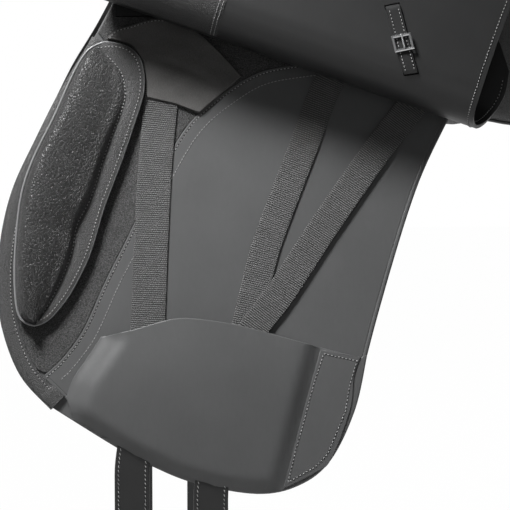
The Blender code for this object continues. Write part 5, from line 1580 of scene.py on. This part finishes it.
    def seams(self) -> None:
        """Rows inside the flap's rim, on both faces."""
        front, bottom, rear, _ = self.rims()
        rim = resample(shifted(np.vstack([front[4:], bottom, rear[:-2]]), -self.seam_in), DOTTED.pitch)
        face = STACK.flap / 2.0
        for half, rows in (("upper", rim[rim[:, 1] <= self.split]), ("lower", rim[rim[:, 1] > self.split])):
            for label, n in (("outer", face), ("inner", -face)):
                self.sew(f"flap_{half}_{label}_seam", rows, n, half == "upper", DOTTED)


@dataclass
class Keeper:
    """The small stitched strap that runs through two slots in the leaf, under its buckle."""

    flap: OuterFlap
    root: tuple[float, float] = (67.0 * MM, 68.0 * MM)
    slant: float = math.radians(32.0)
    reach: float = 60.0 * MM
    width: float = 12.0 * MM
    thick: float = 2.2 * MM
    loop: float = 8.0 * MM
    corner: float = 2.6 * MM
    seam_in: float = 2.2 * MM

    def spot(self, across: float, s: float, n: float) -> tuple[float, float, float]:
        """A point of the strap in fold coordinates: across it, along it and off the middle of the flap."""
        a = self.root[0] - s * math.sin(self.slant) + across * math.cos(self.slant)
        q = self.root[1] + s * math.cos(self.slant) + across * math.sin(self.slant)
        return a, q, n

    def path(self) -> Array:
        """The middle of the strap, as s and n: flat under the buckle, arched over the far side."""
        half, t = STACK.flap / 2.0, self.thick / 2.0
        under, corner, middle = -half - GAP - t, self.corner, self.reach * 0.5
        near = [(s, under) for s in np.linspace(corner, self.reach - corner, 28)]
        end = [(self.reach - corner * (1 - math.sin(a)), under + corner * (1 - math.cos(a)))
               for a in (0.5, 1.05)]
        arch = [(middle + middle * math.cos(a), half + (self.loop + t) * math.sin(a) ** 0.55)
                for a in np.linspace(0.06, math.pi - 0.06, 30)]
        start = [(self.reach - s, n) for s, n in end[::-1]]
        return np.array(near + end + arch + start)

    def build(self) -> None:
        """Bend the strap through its slots into a ring and sew its near run."""
        path = self.path()
        path = np.vstack([path, path[:1]])
        ahead = tangents(np.vstack([path[-2:-1], path, path[1:2]]))[1:-1]
        normal = np.stack([-ahead[:, 1], ahead[:, 0]], axis=1)
        half, t = self.width / 2.0, self.thick / 2.0
        profile = [(-half + 0.5 * MM, -t), (half - 0.5 * MM, -t), (half, -t * 0.4), (half, t * 0.4),
                   (half - 0.5 * MM, t), (-half + 0.5 * MM, t), (-half, t * 0.4), (-half, -t * 0.4)]
        rings = [[self.spot(w, *(p + k * m)) for w, k in profile] for p, m in zip(path, normal)]
        obj = loft(self.flap.name("keeper_band"), np.array(rings), caps=False)
        self.flap.hang(obj, Finish.FLAP, False, ["keeper_strap"])
        face = -STACK.flap / 2.0 - GAP - self.thick
        for k, edge in enumerate((-1.0, 1.0)):
            row = np.array([self.spot(edge * (half - self.seam_in), s, face)[:2]
                            for s in np.arange(4.0 * MM, self.reach - 3.0 * MM, DOTTED.pitch)])
            self.flap.sew(f"keeper_seam_{k}", row, face, False, DOTTED)

    def cut_slots(self, flat_flap: Piece) -> None:
        """Cut the strap's two slots in the flap while it is still flat."""
        for s in (0.0, self.reach):
            deselect()
            bpy.ops.mesh.primitive_cube_add(size=1.0)
            punch = bpy.context.object
            a, q, _ = self.spot(0.0, s, 0.0)
            punch.scale = (self.width + 1.0 * MM, self.thick + 1.6 * MM, 20.0 * MM)
            punch.rotation_euler = (0.0, 0.0, self.slant)
            punch.location = (a, q, 0.0)
            cut_away(flat_flap, punch)


# The seat and what lies under it


def table(rows: Sequence[tuple[float, ...]], x: Array, column: int) -> Array:
    """Smoothly read a table of millimetres at x in metres."""
    data = np.array(rows, float)
    at = np.clip(np.asarray(x, float) / MM, data[0, 0], data[-1, 0])
    i = np.clip(np.searchsorted(data[:, 0], at, side="right") - 1, 0, len(data) - 2)
    before, after = np.maximum(i - 1, 0), np.minimum(i + 2, len(data) - 1)
    x0, x1, x2, x3 = (data[k, 0] for k in (before, i, i + 1, after))
    y0, y1, y2, y3 = (data[k, column] for k in (before, i, i + 1, after))
    m1 = (y2 - y0) / (x2 - x0) * (x2 - x1)
    m2 = (y3 - y1) / (x3 - x1) * (x2 - x1)
    t = (at - x1) / (x2 - x1)
    value = ((2 * t ** 3 - 3 * t ** 2 + 1) * y1 + (t ** 3 - 2 * t ** 2 + t) * m1
             + (3 * t ** 2 - 2 * t ** 3) * y2 + (t ** 3 - t ** 2) * m2)
    return value * MM


@dataclass
class Seat:
    """The deep seat: cover over foam over a laminated tree, with a cantle roll behind."""

    stations: tuple[tuple[float, float, float, float], ...] = (
        (-190, 66, 150, 34), (-175, 86, 156, 46), (-150, 98, 156, 54), (-115, 110, 144, 56),
        (-70, 122, 117, 46), (-20, 133, 94, 30), (30, 138, 84, 20), (85, 143, 85, 6), (140, 149, 98, -3),
        (190, 143, 124, 1), (225, 124, 147, 8), (250, 92, 164, 12), (262, 58, 170, 9))
    front: float = -190.0 * MM
    rear: float = 262.0 * MM
    cantle_from: float = 104.0 * MM
    cover: float = 2.5 * MM
    foam: float = 14.0 * MM
    tree: float = 9.0 * MM
    seam_share: float = 0.60
    seam_depth: float = 1.6 * MM
    roll_radius: float = 4.0 * MM
    turned: float = 15.0 * MM

    def half(self, x: Array) -> Array:
        """Half the width of the seat."""
        return table(self.stations, x, 1)

    def height(self, x: Array, y: Array) -> Array:
        """Height of the seat's top."""
        share = np.minimum(1.0, np.abs(y) / self.half(x))
        return table(self.stations, x, 2) - table(self.stations, x, 3) * share ** 3

    def underside(self, x: Array, y: Array) -> Array:
        """Height of the tree's lower face."""
        return self.height(x, y) - self.cover - self.foam - self.tree - 2.0 * GAP

    def stretch(self, count: int, trim: tuple[float, float] = (0.0, 0.0)) -> Array:
        """Stations along the seat, closer together at its ends."""
        shares = np.cos(math.pi * (0.08 + 0.84 * np.linspace(0.0, 1.0, count)))
        xs = self.front + (self.rear - self.front) * (shares[0] - shares) / (shares[0] - shares[-1])
        return xs[(xs >= self.front + trim[0] * MM - 1e-9) & (xs <= self.rear - trim[1] * MM + 1e-9)]

    def layer(self, name: str, count: int, share: float, top: float, low: float, trim: tuple[float, float],
              seams: bool = False) -> Piece:
        """One shell of the seat.

        Args:
            name: its name.
            count: stations along the seat.
            share: how much of the half width it covers.
            top: its top's depth under the seat's surface.
            low: its underside's depth.
            trim: how much shorter it is at the front and the rear, in millimetres.
            seams: sink the two seams of the cover.

        Returns:
            The shell.
        """
        xs = self.stretch(count, trim)
        columns = np.sin(np.linspace(-math.pi / 2, math.pi / 2, 61)) * 0.5 + np.linspace(-0.5, 0.5, 61)
        rings = []
        for x in xs:
            y = columns * share * self.half(x)
            z = self.height(np.full(len(y), x), y)
            dip = np.zeros(len(y))
            if seams:
                away = (np.abs(columns) - self.seam_share) * self.half(x)
                fade = smooth_step(x, -182.0 * MM, -150.0 * MM) * (1 - smooth_step(x, 226.0 * MM, 256.0 * MM))
                dip = self.seam_depth * np.exp(-(away / (2.6 * MM)) ** 2) * fade
            edge = 0.8 * MM * smooth_step(np.abs(columns), 0.985, 1.0)
            turned = self.turn_down(x, y[-1], z[-1]) if seams else []
            mirrored = [p * [1, -1, 1] for p in turned[::-1]]
            upper = beside(x, y, z - top - dip - edge)
            lower = beside(x, y, z - low + edge * 0.5)
            rings.append(np.vstack([upper, *turned, lower[::-1], *mirrored]))
        return loft(name, np.array(rings), 45.0)

    def turn_down(self, x: float, y: float, z: float) -> list[Array]:
        """The cover's edge, turned down over the foam at one station."""
        reach = self.turned * float(smooth_step(x, self.front, -165.0 * MM)
                                    * (1.0 - smooth_step(x, 90.0 * MM, 120.0 * MM)))
        places = ((0.0, 0.35), (0.3, 0.75), (1.0, 1.0), (2.6, 1.0), (2.6, 0.6))
        return [np.array([[x, y - inset * MM, z - 1.6 * MM - reach * down]]) for inset, down in places]

    def build(self) -> None:
        """Make the layers, the webs of the tree, the cantle and the pommel."""
        cover = self.layer("seat_leather", 72, 1.0, 0.0, self.cover, (0.0, 0.0), True)
        fix(cover, Finish.SOFT, replaces=["seat_cover"])
        top = self.cover + GAP
        foam = self.layer("seat_padding", 40, 0.915, top, top + self.foam, (8.0, 22.0))
        fix(foam, Finish.FOAM, replaces=["seat_foam"])
        self.seams()
        self.webs()
        self.cantle()
        self.pommel()

    def seams(self) -> None:
        """Stitches along the two seams of the cover."""
        rows = []
        for label, sign in (("near", -1.0), ("off", 1.0)):
            xs = np.linspace(-168.0, 240.0, 60) * MM
            y = sign * self.seam_share * self.half(xs) + sign * 3.2 * MM
            path = resample(beside(xs, y, self.height(xs, y) - 0.25 * MM), FINE.pitch)
            rows.append(FINE.sew(f"{label}_seat_seam", path, self.normals(path)))
        ride_all(rows, "saddle")

    def normals(self, path: Array) -> Array:
        """Directions out of the seat at points on it."""
        step = 1.0 * MM
        dx = self.height(path[:, 0] + step, path[:, 1]) - self.height(path[:, 0] - step, path[:, 1])
        dy = self.height(path[:, 0], path[:, 1] + step) - self.height(path[:, 0], path[:, 1] - step)
        return beside(-dx, -dy, 2.0 * step)

    def webs(self) -> None:
        """Two webs along the slot of the tree and one across them, as one woven piece."""
        xs = np.linspace(-90.0, 170.0, 40) * MM
        under = self.underside(xs, np.full(len(xs), 24.0 * MM)) - 0.7 * MM
        parts = []
        for middle in (-14.0 * MM, 14.0 * MM):
            parts.append(self.web_strip(beside(xs, middle, under), 10.0 * MM, np.array([0.0, 1.0, 0.0])))
        ys = np.linspace(-23.0, 23.0, 8) * MM
        level = float(self.underside(np.array([42.0 * MM]), np.array([24.0 * MM]))[0]) - 2.2 * MM
        parts.append(self.web_strip(beside(42.0 * MM, ys, level), 12.0 * MM, np.array([1.0, 0.0, 0.0])))
        activate(parts[0])
        for part in parts:
            part.select_set(True)
        bpy.ops.object.join()
        parts[0].name = "tree_webs"
        fix(parts[0], Finish.WEB, replaces=["seat_webbing"])

    def web_strip(self, path: Array, half: float, across: Array) -> Piece:
        """A thin woven strip with its own UV map."""
        run = lengths(path)
        profile = [(w, 0.0) for w in np.linspace(-half, half, 7)] + [(half, -1.2 * MM), (-half, -1.2 * MM)]
        rings = [path + across * w + np.array([0.0, 0.0, n]) for w, n in profile]
        marks = [at_height(run, w) for w, _ in profile]
        return loft("web_strip", np.stack(rings, axis=1), uv=np.stack(marks, axis=1))

    def rim(self, outward: float, count: int = 90) -> Array:
        """Points round the back of the seat's edge, from near side to off side."""
        turn = np.sin(np.linspace(0.0, math.pi / 2, count // 2))
        xs = self.cantle_from + (self.rear - self.cantle_from) * turn
        half = beside(xs, self.half(xs))
        whole = resample(np.vstack([half * [1, -1], half[::-1]]), 6.0 * MM)
        moved = whole - lefts(whole) * outward
        x = np.minimum(moved[:, 0], self.rear)
        return at_height(moved, self.height(x, np.minimum(np.abs(moved[:, 1]), self.half(x))))

    def cantle(self) -> None:
        """The piped roll round the rear edge and the grained facing under it."""
        path = self.rim(self.roll_radius + 2.0 * GAP)
        roll = tube("cantle_piping", path - np.array([0.0, 0.0, self.cover / 2]), self.roll_radius, 16)
        fix(roll, Finish.SMOOTH, replaces=["cantle_roll"])
        outer, inner = self.rim(-3.0 * MM), self.rim(-5.4 * MM)
        count = len(outer)
        foot = 60.0 * MM + 4.0 * MM * np.sin(math.pi * np.arange(count) / (count - 1)) ** 2
        rings = []
        for edge, swell, shares in ((outer, 0.66 * MM, np.linspace(0.0, 1.0, 9)),
                                    (inner, 0.0, (1.0, 0.5, 0.0))):
            for share in shares:
                x = edge[:, 0] + swell * math.sin(math.pi * share)
                z = (edge[:, 2] - self.cover - 5.0 * GAP) * (1 - share) + foot * share
                rings.append(beside(x, edge[:, 1] * (1.0 - 0.035 * share), z))
        wall = loft("cantle_leather", np.stack(rings, axis=1), 50.0)
        fix(wall, Finish.PRINT, replaces=["cantle_facing"])

    def pommel(self) -> None:
        """The grained leather that closes the front of the head."""
        x = self.front - GAP
        y = np.linspace(0.0, 66.0 * MM, 12)
        outer = np.vstack([beside(y, self.height(np.full(12, self.front), y) - 1.0 * MM),
                           curve([(66, 115), (86, 97), (106, 72), (116, 44)], 6)[1:]])
        inner = curve([(0, 104), (15, 102), (29, 95), (40, 84), (50, 70), (68, 56), (86, 46), (100, 40)], 6)
        outer, inner = evenly(outer, 36), evenly(inner, 36)
        mirror = lambda p: np.vstack([p[:0:-1] * [-1, 1], p])
        outer, inner = mirror(outer), mirror(inner)
        rings = []
        for blend, depth in ((0, 0.4), (0.03, 0), (0.97, 0), (1, 0.4), (1, 2.6), (0.97, 3.0), (0.5, 3.3),
                             (0.03, 3.0), (0, 2.6)):
            p = outer * (1 - blend) + inner * blend
            rings.append(np.insert(p, 0, x - depth * MM, axis=1))
        wall = loft("pommel_leather", np.stack(rings, axis=1), 45.0)
        fix(wall, Finish.PRINT, replaces=["pommel_facing"])
        row = outer * 0.94 + inner * 0.06
        path = resample(np.insert(row, 0, x - 3.1 * MM, axis=1), FINE.pitch)[3:-3]
        ride_all([FINE.sew("pommel_seam", path, np.tile([-1.0, 0.0, 0.0], (len(path), 1)))], "saddle")


@dataclass
class Panel(SidePart):
    """One stuffed panel: under the flap in front, deep and gusseted behind, with a piped gusset."""

    seat: Seat
    channel: float = 33.0 * MM
    arch: tuple[float, float] = (-170.0 * MM, -132.0 * MM)
    end_round: float = 10.0 * MM
    end_turns: tuple[float, ...] = (14.0, 28.0, 42.0, 56.0, 70.0, 83.0)
    rear_count: int = 10
    end_passes: int = 14
    softened: int = 27
    gusset_from: int = 44
    gusset_columns: tuple[int, int] = (15, 35)
    cord: float = 1.5 * MM
    front: tuple[tuple[float, float, float], ...] = (
        (-170, -34, 24), (-164, -86, 20), (-148, -114, 19), (-125, -124, 22), (-112, -118, 24),
        (-80, -92, 32), (-40, -70, 40), (0, -60, 45), (50, -60, 48), (90, -66, 50), (114, -70, 50))
    rear: tuple[tuple[float, ...], ...] = (
        (138, 146, 40, -74, 1), (170, 141, 44, -78, 1), (205, 129, 46, -74, 0.9), (236, 108, 44, -58, 0.35),
        (256, 86, 42, -32, 0.16), (268, 64, 34, 0, 0.10))

    def top(self, x: float, y: float) -> float:
        """The panel's top, under the tree and under the gullet plate."""
        at = min(max(x, -182.0 * MM), 233.0 * MM)
        half = float(self.seat.half(np.array([at]))[0])
        under = float(self.seat.underside(np.array([at]), np.array([min(y, 0.82 * half)]))[0])
        if x < self.arch[1] + 9.0 * MM:
            spots = np.linspace(*self.arch, 7)
            crown = float(np.min(self.seat.underside(spots, np.full(7, y)))) - 1.4 * MM
            return min(under, crown - 3.6 * MM) - 2.0 * MM
        return under - 2.0 * MM

    def front_section(self, x: float, low: float, thick: float) -> Array:
        """A section in front, as rows of y and z."""
        near = Side.OFF
        spot = lambda v, n: tuple(near.wrap(np.array([[x, v, n]]))[0, 1:])
        points = [(y, self.top(x, y)) for y in (self.channel, 52.0 * MM, 70.0 * MM)]
        points += [spot(v, -0.6 * MM) for v in (FLAT_TOP - 5.0 * MM, FLAT_TOP * 0.3, low * 0.6, low)]
        points += [spot(low - 5.0 * MM, -thick * 0.5), spot(low + 12.0 * MM, -thick),
                   spot(low * 0.35, -thick - 12.0 * MM)]
        inner = min(self.top(x, self.channel) - 36.0 * MM, 26.0 * MM)
        points += [(56.0 * MM, inner - 9.0 * MM), (self.channel + 4.0 * MM, inner - 2.0 * MM),
                   (self.channel, inner + 6.0 * MM)]
        return np.array(points)

    def rear_section(self, x: float) -> Array:
        """A section of the gusseted rear."""
        outer, shoulder, low, fill = (float(table(self.rear, np.array([x]), k)[0]) for k in (1, 2, 3, 4))
        fill, c = fill / MM, self.channel
        top = min(self.top(x, c), shoulder + 52.0 * MM * fill)
        tall, wide = shoulder - low, outer - c
        return np.array([(c, top), (c + wide * 0.3, top - 3.0 * MM),
                         (c + wide * 0.6, top * 0.4 + shoulder * 0.6), (outer - 4.0 * MM, shoulder),
                         (outer, shoulder - tall * 0.12), (outer + 2.0 * MM, shoulder - tall * 0.5),
                         (outer, low + tall * 0.14), (outer - 0.08 * wide, low),
                         (c + 0.66 * wide, low + 1.0 * MM), (c + 0.447 * wide, low + 13.0 * MM * fill),
                         (c + 0.124 * wide, low + 34.0 * MM * fill),
                         (c + 0.027 * wide, low + 44.0 * MM * fill), (c, low + 54.0 * MM * fill)])

    def sections(self) -> tuple[Array, Array]:
        """Stations along the panel and their sections."""
        xs = [row[0] * MM for row in self.front]
        rows = [self.front_section(x * MM, low * MM, thick * MM) for x, low, thick in self.front]
        start, end = self.rear[0][0], self.rear[-1][0]
        for turn in np.linspace(0.0, math.pi / 2.0, self.rear_count):
            xs.append((start + (end - start) * math.sin(turn)) * MM)
            rows.append(self.rear_section(xs[-1]))
        return np.array(xs), np.array(rows)

    def build(self) -> None:
        """Skin the panel finely between its sections, then pipe its gusset."""
        xs, rows = self.sections()
        rounded = []
        for row in rows:
            closed = np.vstack([row[-1:], row, row[:2]]) / MM
            rounded.append(curve(closed, 5)[5:-5][:len(row) * 5])
        rounded = np.array(rounded)
        stack = np.concatenate([np.repeat(xs[:, None, None], rounded.shape[1], axis=1), rounded], axis=2)
        fine = np.stack([curve(stack[:, k, :] / MM, 4) for k in range(stack.shape[1])], axis=1)
        fine = np.concatenate([fine, self.rounded_end(fine)])
        fine[:, :, 1] *= self.side.sign
        obj = loft(self.name("panel_leather"), fine, 70.0)
        fix(obj, Finish.SOFT, replaces=[self.name("panel")])
        self.gusset(fine)

    def rounded_end(self, skin: Array) -> Array:
        """Soften the skin's last sections, in place, and give the sections that close its rear end."""
        for k in range(1, self.softened + 1):
            skin[-k] = averaged(skin[-k], self.softened + 2 - k)
        end, middle = skin[-1], skin[-1].mean(axis=0)
        turns = []
        for a in np.radians(self.end_turns):
            end = averaged(end, self.end_passes)
            beyond = np.array([self.end_round * math.sin(a), 0.0, 0.0])
            turns.append(middle + (end - middle) * math.cos(a) + beyond)
        return np.array(turns)

    def gusset(self, skin: Array) -> None:
        """Two cords round the rear gusset."""
        rows = []
        rear = skin[self.gusset_from:-len(self.end_turns)]
        for k, column in enumerate(self.gusset_columns):
            path = rear[:, column]
            out = path - rear.mean(axis=1)
            out /= np.linalg.norm(out, axis=1, keepdims=True)
            path = resample(path + out * 0.5 * MM, 5.0 * MM)
            cord = tube(self.name(f"gusset_cord_{k}"), path, self.cord, 8)
            rows.append(dress(cord, Finish.SMOOTH))
        ride_all(rows, "saddle")


@dataclass
class Skirt(SidePart):
    """The small skirt raised over the stirrup bar, nailed at its head and sewn round its edge."""

    bulge: float = 22.0 * MM
    bulge_at: tuple[float, float] = (-112.0 * MM, 44.0 * MM)
    bulge_size: tuple[float, float] = (76.0 * MM, 50.0 * MM)
    seam_in: float = 4.0 * MM

    def low(self, plan: Array) -> Array:
        """Height of the inner face."""
        rel = (plan[:, :2] - np.array(self.bulge_at)) / np.array(self.bulge_size)
        away = np.minimum(1.0, np.linalg.norm(rel, axis=1))
        rise = np.minimum(1.0, (1.0 - away) * 1.6)
        return STACK.skirt_low + self.bulge * rise * rise * (3.0 - 2.0 * rise)

    def build(self) -> None:
        """Shape the skirt, sew its edge and nail it."""
        top = curve([(84, 44), (30, 52), (-20, 56), (-70, 68), (-120, 86), (-172, 100)])
        low = curve([(-172, 100), (-181, 76), (-178, 52), (-160, 30), (-120, 12), (-60, -6), (0, -22),
                     (44, -30), (78, -26), (94, -4), (93, 24), (84, 44)])
        obj = cut_leather(self.name("skirt_leather"), ring(top, low), 0.0, STACK.skirt,
                          Edge(0.7 * MM, 2.0 * MM), x_cuts=np.arange(-176, 96, 6) * MM,
                          v_cuts=np.arange(-28, 100, 6) * MM)
        raise_by(obj, self.low)
        self.lay(obj, Finish.FLAP, "skirt", angle=50.0)
        height = lambda flat: self.low(flat) + STACK.skirt
        self.plan_seam("skirt_seam", shifted(low, self.seam_in)[6:-3], height)
        for k, (x, v) in enumerate(((-140, 80), (76, 34))):
            self.nail(k, np.array([[x * MM, v * MM]]))

    def nail(self, number: int, spot: Array) -> None:
        """A domed saddle nail."""
        n = self.low(spot) + STACK.skirt - 0.4 * MM
        foot = self.side.wrap(at_height(spot, n))[0]
        out = self.side.wrap(at_height(spot, n + 1.0))[0] - foot
        deselect()
        bpy.ops.mesh.primitive_uv_sphere_add(segments=24, ring_count=12, radius=4.0 * MM)
        obj = bpy.context.object
        obj.name = self.name(f"saddle_nail_{number}")
        co = coords(obj)
        co[:, 2] = np.where(co[:, 2] > 0.0, co[:, 2] * 0.62, co[:, 2] * 0.05)
        turn = np.array(Vector(out).to_track_quat("Z", "Y").to_matrix())
        set_coords(obj, co @ turn.T + foot)
        smooth(obj, 50.0)
        fix(obj, Finish.STEEL)


@dataclass
class DeeChape(SidePart):
    """The leather loop that holds the dee ring's bar."""

    skirt: Skirt
    wire: float = 1.7 * MM
    wall: float = 1.6 * MM
    width: float = 13.0 * MM
    length: float = 19.0 * MM
    at: tuple[float, float] = (-164.0 * MM, 84.0 * MM)

    def axes(self) -> tuple[Array, Array, Array]:
        """Centre of the ring's bar, the way down and the way out."""
        bore = self.wire + 0.4 * MM
        x, v = self.at
        spot = lambda *at: self.side.wrap(np.array([at]))[0]
        ground = lambda *at: float(self.skirt.low(np.array([at]))[0]) + STACK.skirt
        centre = spot(x, v, ground(x, v + 4.0 * MM) + bore + self.wall + 2.2 * MM)
        below = (x + 8.0 * MM, v - 16.0 * MM)
        down = spot(*below, ground(*below) + self.wire + 2.0 * MM) - [8.0 * MM, 0.0, 0.0] - centre
        down /= np.linalg.norm(down)
        out = spot(x, v, 1.0) - spot(x, v, 0.0)
        out = out - down * out.dot(down)
        return centre, down, out / np.linalg.norm(out)

    def build(self) -> None:
        """Wrap the leather round the bar and lay its tail on the skirt."""
        centre, down, out = self.axes()
        bore, outer = self.wire + 0.4 * MM, self.wire + 0.4 * MM + self.wall
        angles = np.linspace(-math.pi * 0.5, math.pi * 0.93, 22)
        loop = [(outer * math.cos(a), outer * math.sin(a)) for a in angles]
        inner = [(bore * math.cos(a), bore * math.sin(a)) for a in angles[::-1]]
        section = ([(-self.length, -outer)] + [(-self.length * 0.5, -outer)] + loop + inner
                   + [(-bore * 0.7, -bore * 0.78), (-self.length, -bore * 0.7)])
        rings = []
        for x in np.linspace(-0.5, 0.5, 7) * self.width:
            rings.append([centre + np.array([x, 0.0, 0.0]) + down * s + out * n for s, n in section])
        obj = loft(self.name("chape_leather"), np.array(rings), 45.0)
        fix(obj, Finish.PRINT, replaces=[self.name("dee_chape")])


def dress_metal_and_wood() -> None:
    """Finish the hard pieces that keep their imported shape."""
    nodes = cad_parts
    # The gullet plate's near-black steel is painted shade for the shade under the folded flap.
    parts = [("tree", Finish.WOOD), ("gullet_plate", Finish.FORGED)]
    for side in Side:
        parts += [(side.name("stirrup_bar"), Finish.FORGED), (side.name("bar_catch"), Finish.STEEL),
                  (side.name("dee_ring"), Finish.STEEL), (side.name("keeper_buckle"), Finish.STEEL),
                  (side.name("keeper_tongue"), Finish.STEEL)]
    for name, finish in parts:
        obj = nodes[name]
        if name != "tree":
            smooth(obj, 50.0)
        dress(obj, finish)


# Camera, light and backdrop


@dataclass
class Studio:
    """Camera at the photograph's angle, three lamps and a pale floor."""

    aim: tuple[float, float, float] = (-56.0 * MM, -191.0 * MM, 6.0 * MM)
    lit: tuple[float, float, float] = (-130.0 * MM, -160.0 * MM, 0.0)
    distance: float = 1.8
    azimuth: float = math.radians(-2.4)
    lowered: float = math.radians(9.0)
    frame_width: float = 418.0 * MM
    floor_at: float = -0.70
    room_light: float = 0.06

    def build(self) -> None:
        """Set up everything that isn't the saddle."""
        self.camera()
        self.floor()
        self.lamps()

    def camera(self) -> None:
        """Look at the near flap from a little below its normal."""
        target = Side.NEAR.wrap(np.array([self.aim]))[0]
        turn = Matrix.Rotation(self.azimuth, 3, "Z") @ Matrix.Rotation(self.lowered, 3, "X")
        spot = target + np.array(turn @ Vector(Side.NEAR.out)) * self.distance
        data = bpy.data.cameras.new("camera")
        data.lens = data.sensor_width * self.distance / self.frame_width
        cam = put_in_scene("camera", data)
        cam.location = spot
        cam.rotation_euler = Vector(target - spot).to_track_quat("-Z", "Y").to_euler()
        bpy.context.scene.camera = cam

    def white(self, name: str, share: float) -> bpy.types.Material:
        """White that shows as itself to the camera and in reflections, and is lit otherwise."""
        g = Graph(name)
        g.finish((0.9, 0.9, 0.9), 0.9, specular=0.0)
        path = g.tree.nodes.new("ShaderNodeLightPath")
        rays = [Wire(g, path.outputs[k]) for k in ("Is Camera Ray", "Is Glossy Ray", "Is Transmission Ray")]
        glow = g.add("ShaderNodeEmission", None, {"Color": (1.0, 1.0, 1.0, 1.0), "Strength": 1.0})
        mixed = g.add("ShaderNodeMixShader", None, {0: (rays[0] + rays[1] + rays[2]) * share,
                                                    1: Wire(g, g.shader.outputs[0]), 2: glow})
        g.tree.links.new(mixed.socket, g.tree.nodes["Material Output"].inputs[0])
        return g.material

    def floor(self) -> None:
        """A wide pale floor under the saddle."""
        deselect()
        bpy.ops.mesh.primitive_plane_add(size=14.0, location=(0.0, 0.0, self.floor_at))
        floor = bpy.context.object
        floor.name = "floor"
        floor.data.materials.append(self.white("pale_floor", 0.99))

    def lamps(self) -> None:
        """A narrow key from above and to the left, a weak fill, a back light and a dim white world."""
        scene = bpy.context.scene
        scene.view_settings.view_transform = "Standard"
        target = Vector(Side.NEAR.wrap(np.array([self.lit]))[0])
        for name, spot, size, power, spread in (("key", (-0.62, -0.58, 1.05), 0.36, 6.6, 62.0),
                                                ("fill", (-0.5, -2.1, 0.2), 1.2, 3.0, 180.0),
                                                ("back", (0.4, 2.0, 1.4), 1.6, 30.0, 180.0)):
            data = bpy.data.lights.new(name, "AREA")
            data.size = size
            data.energy = power
            data.spread = math.radians(spread)
            lamp = put_in_scene(name, data)
            lamp.location = spot
            lamp.rotation_euler = (target - Vector(spot)).to_track_quat("-Z", "Y").to_euler()
        world = bpy.data.worlds.new("white_room")
        scene.world = world
        world.use_nodes = True
        tree = world.node_tree
        path = tree.nodes.new("ShaderNodeLightPath")
        see = tree.nodes.new("ShaderNodeMath")
        see.operation = "MAXIMUM"
        tree.links.new(path.outputs["Is Camera Ray"], see.inputs[0])
        tree.links.new(path.outputs["Is Transmission Ray"], see.inputs[1])
        strength = tree.nodes.new("ShaderNodeMapRange")
        strength.inputs["To Min"].default_value = self.room_light
        strength.inputs["To Max"].default_value = 1.0
        tree.links.new(see.outputs[0], strength.inputs["Value"])
        room = tree.nodes["Background"]
        room.inputs["Color"].default_value = (1.0, 1.0, 1.0, 1.0)
        tree.links.new(strength.outputs[0], room.inputs["Strength"])


def main() -> None:
    """Build every sub-assembly, from the inside out."""
    logging.basicConfig(level=logging.INFO, format="%(name)s %(message)s")
    seat = Seat()
    seat.build()
    for side in Side:
        for part in (SweatFlap, PointPocket, Webs, BilletGuard, KneeBlock):
            part(side).build()
        for which in (0, 1):
            Billet(side, which).build()
        flap = OuterFlap(side)
        flap.build()
        Keeper(flap).build()
        Panel(side, seat).build()
        skirt = Skirt(side)
        skirt.build()
        DeeChape(side, skirt).build()
    dress_metal_and_wood()
    Studio().build()


if __name__ == "__main__":
    main()
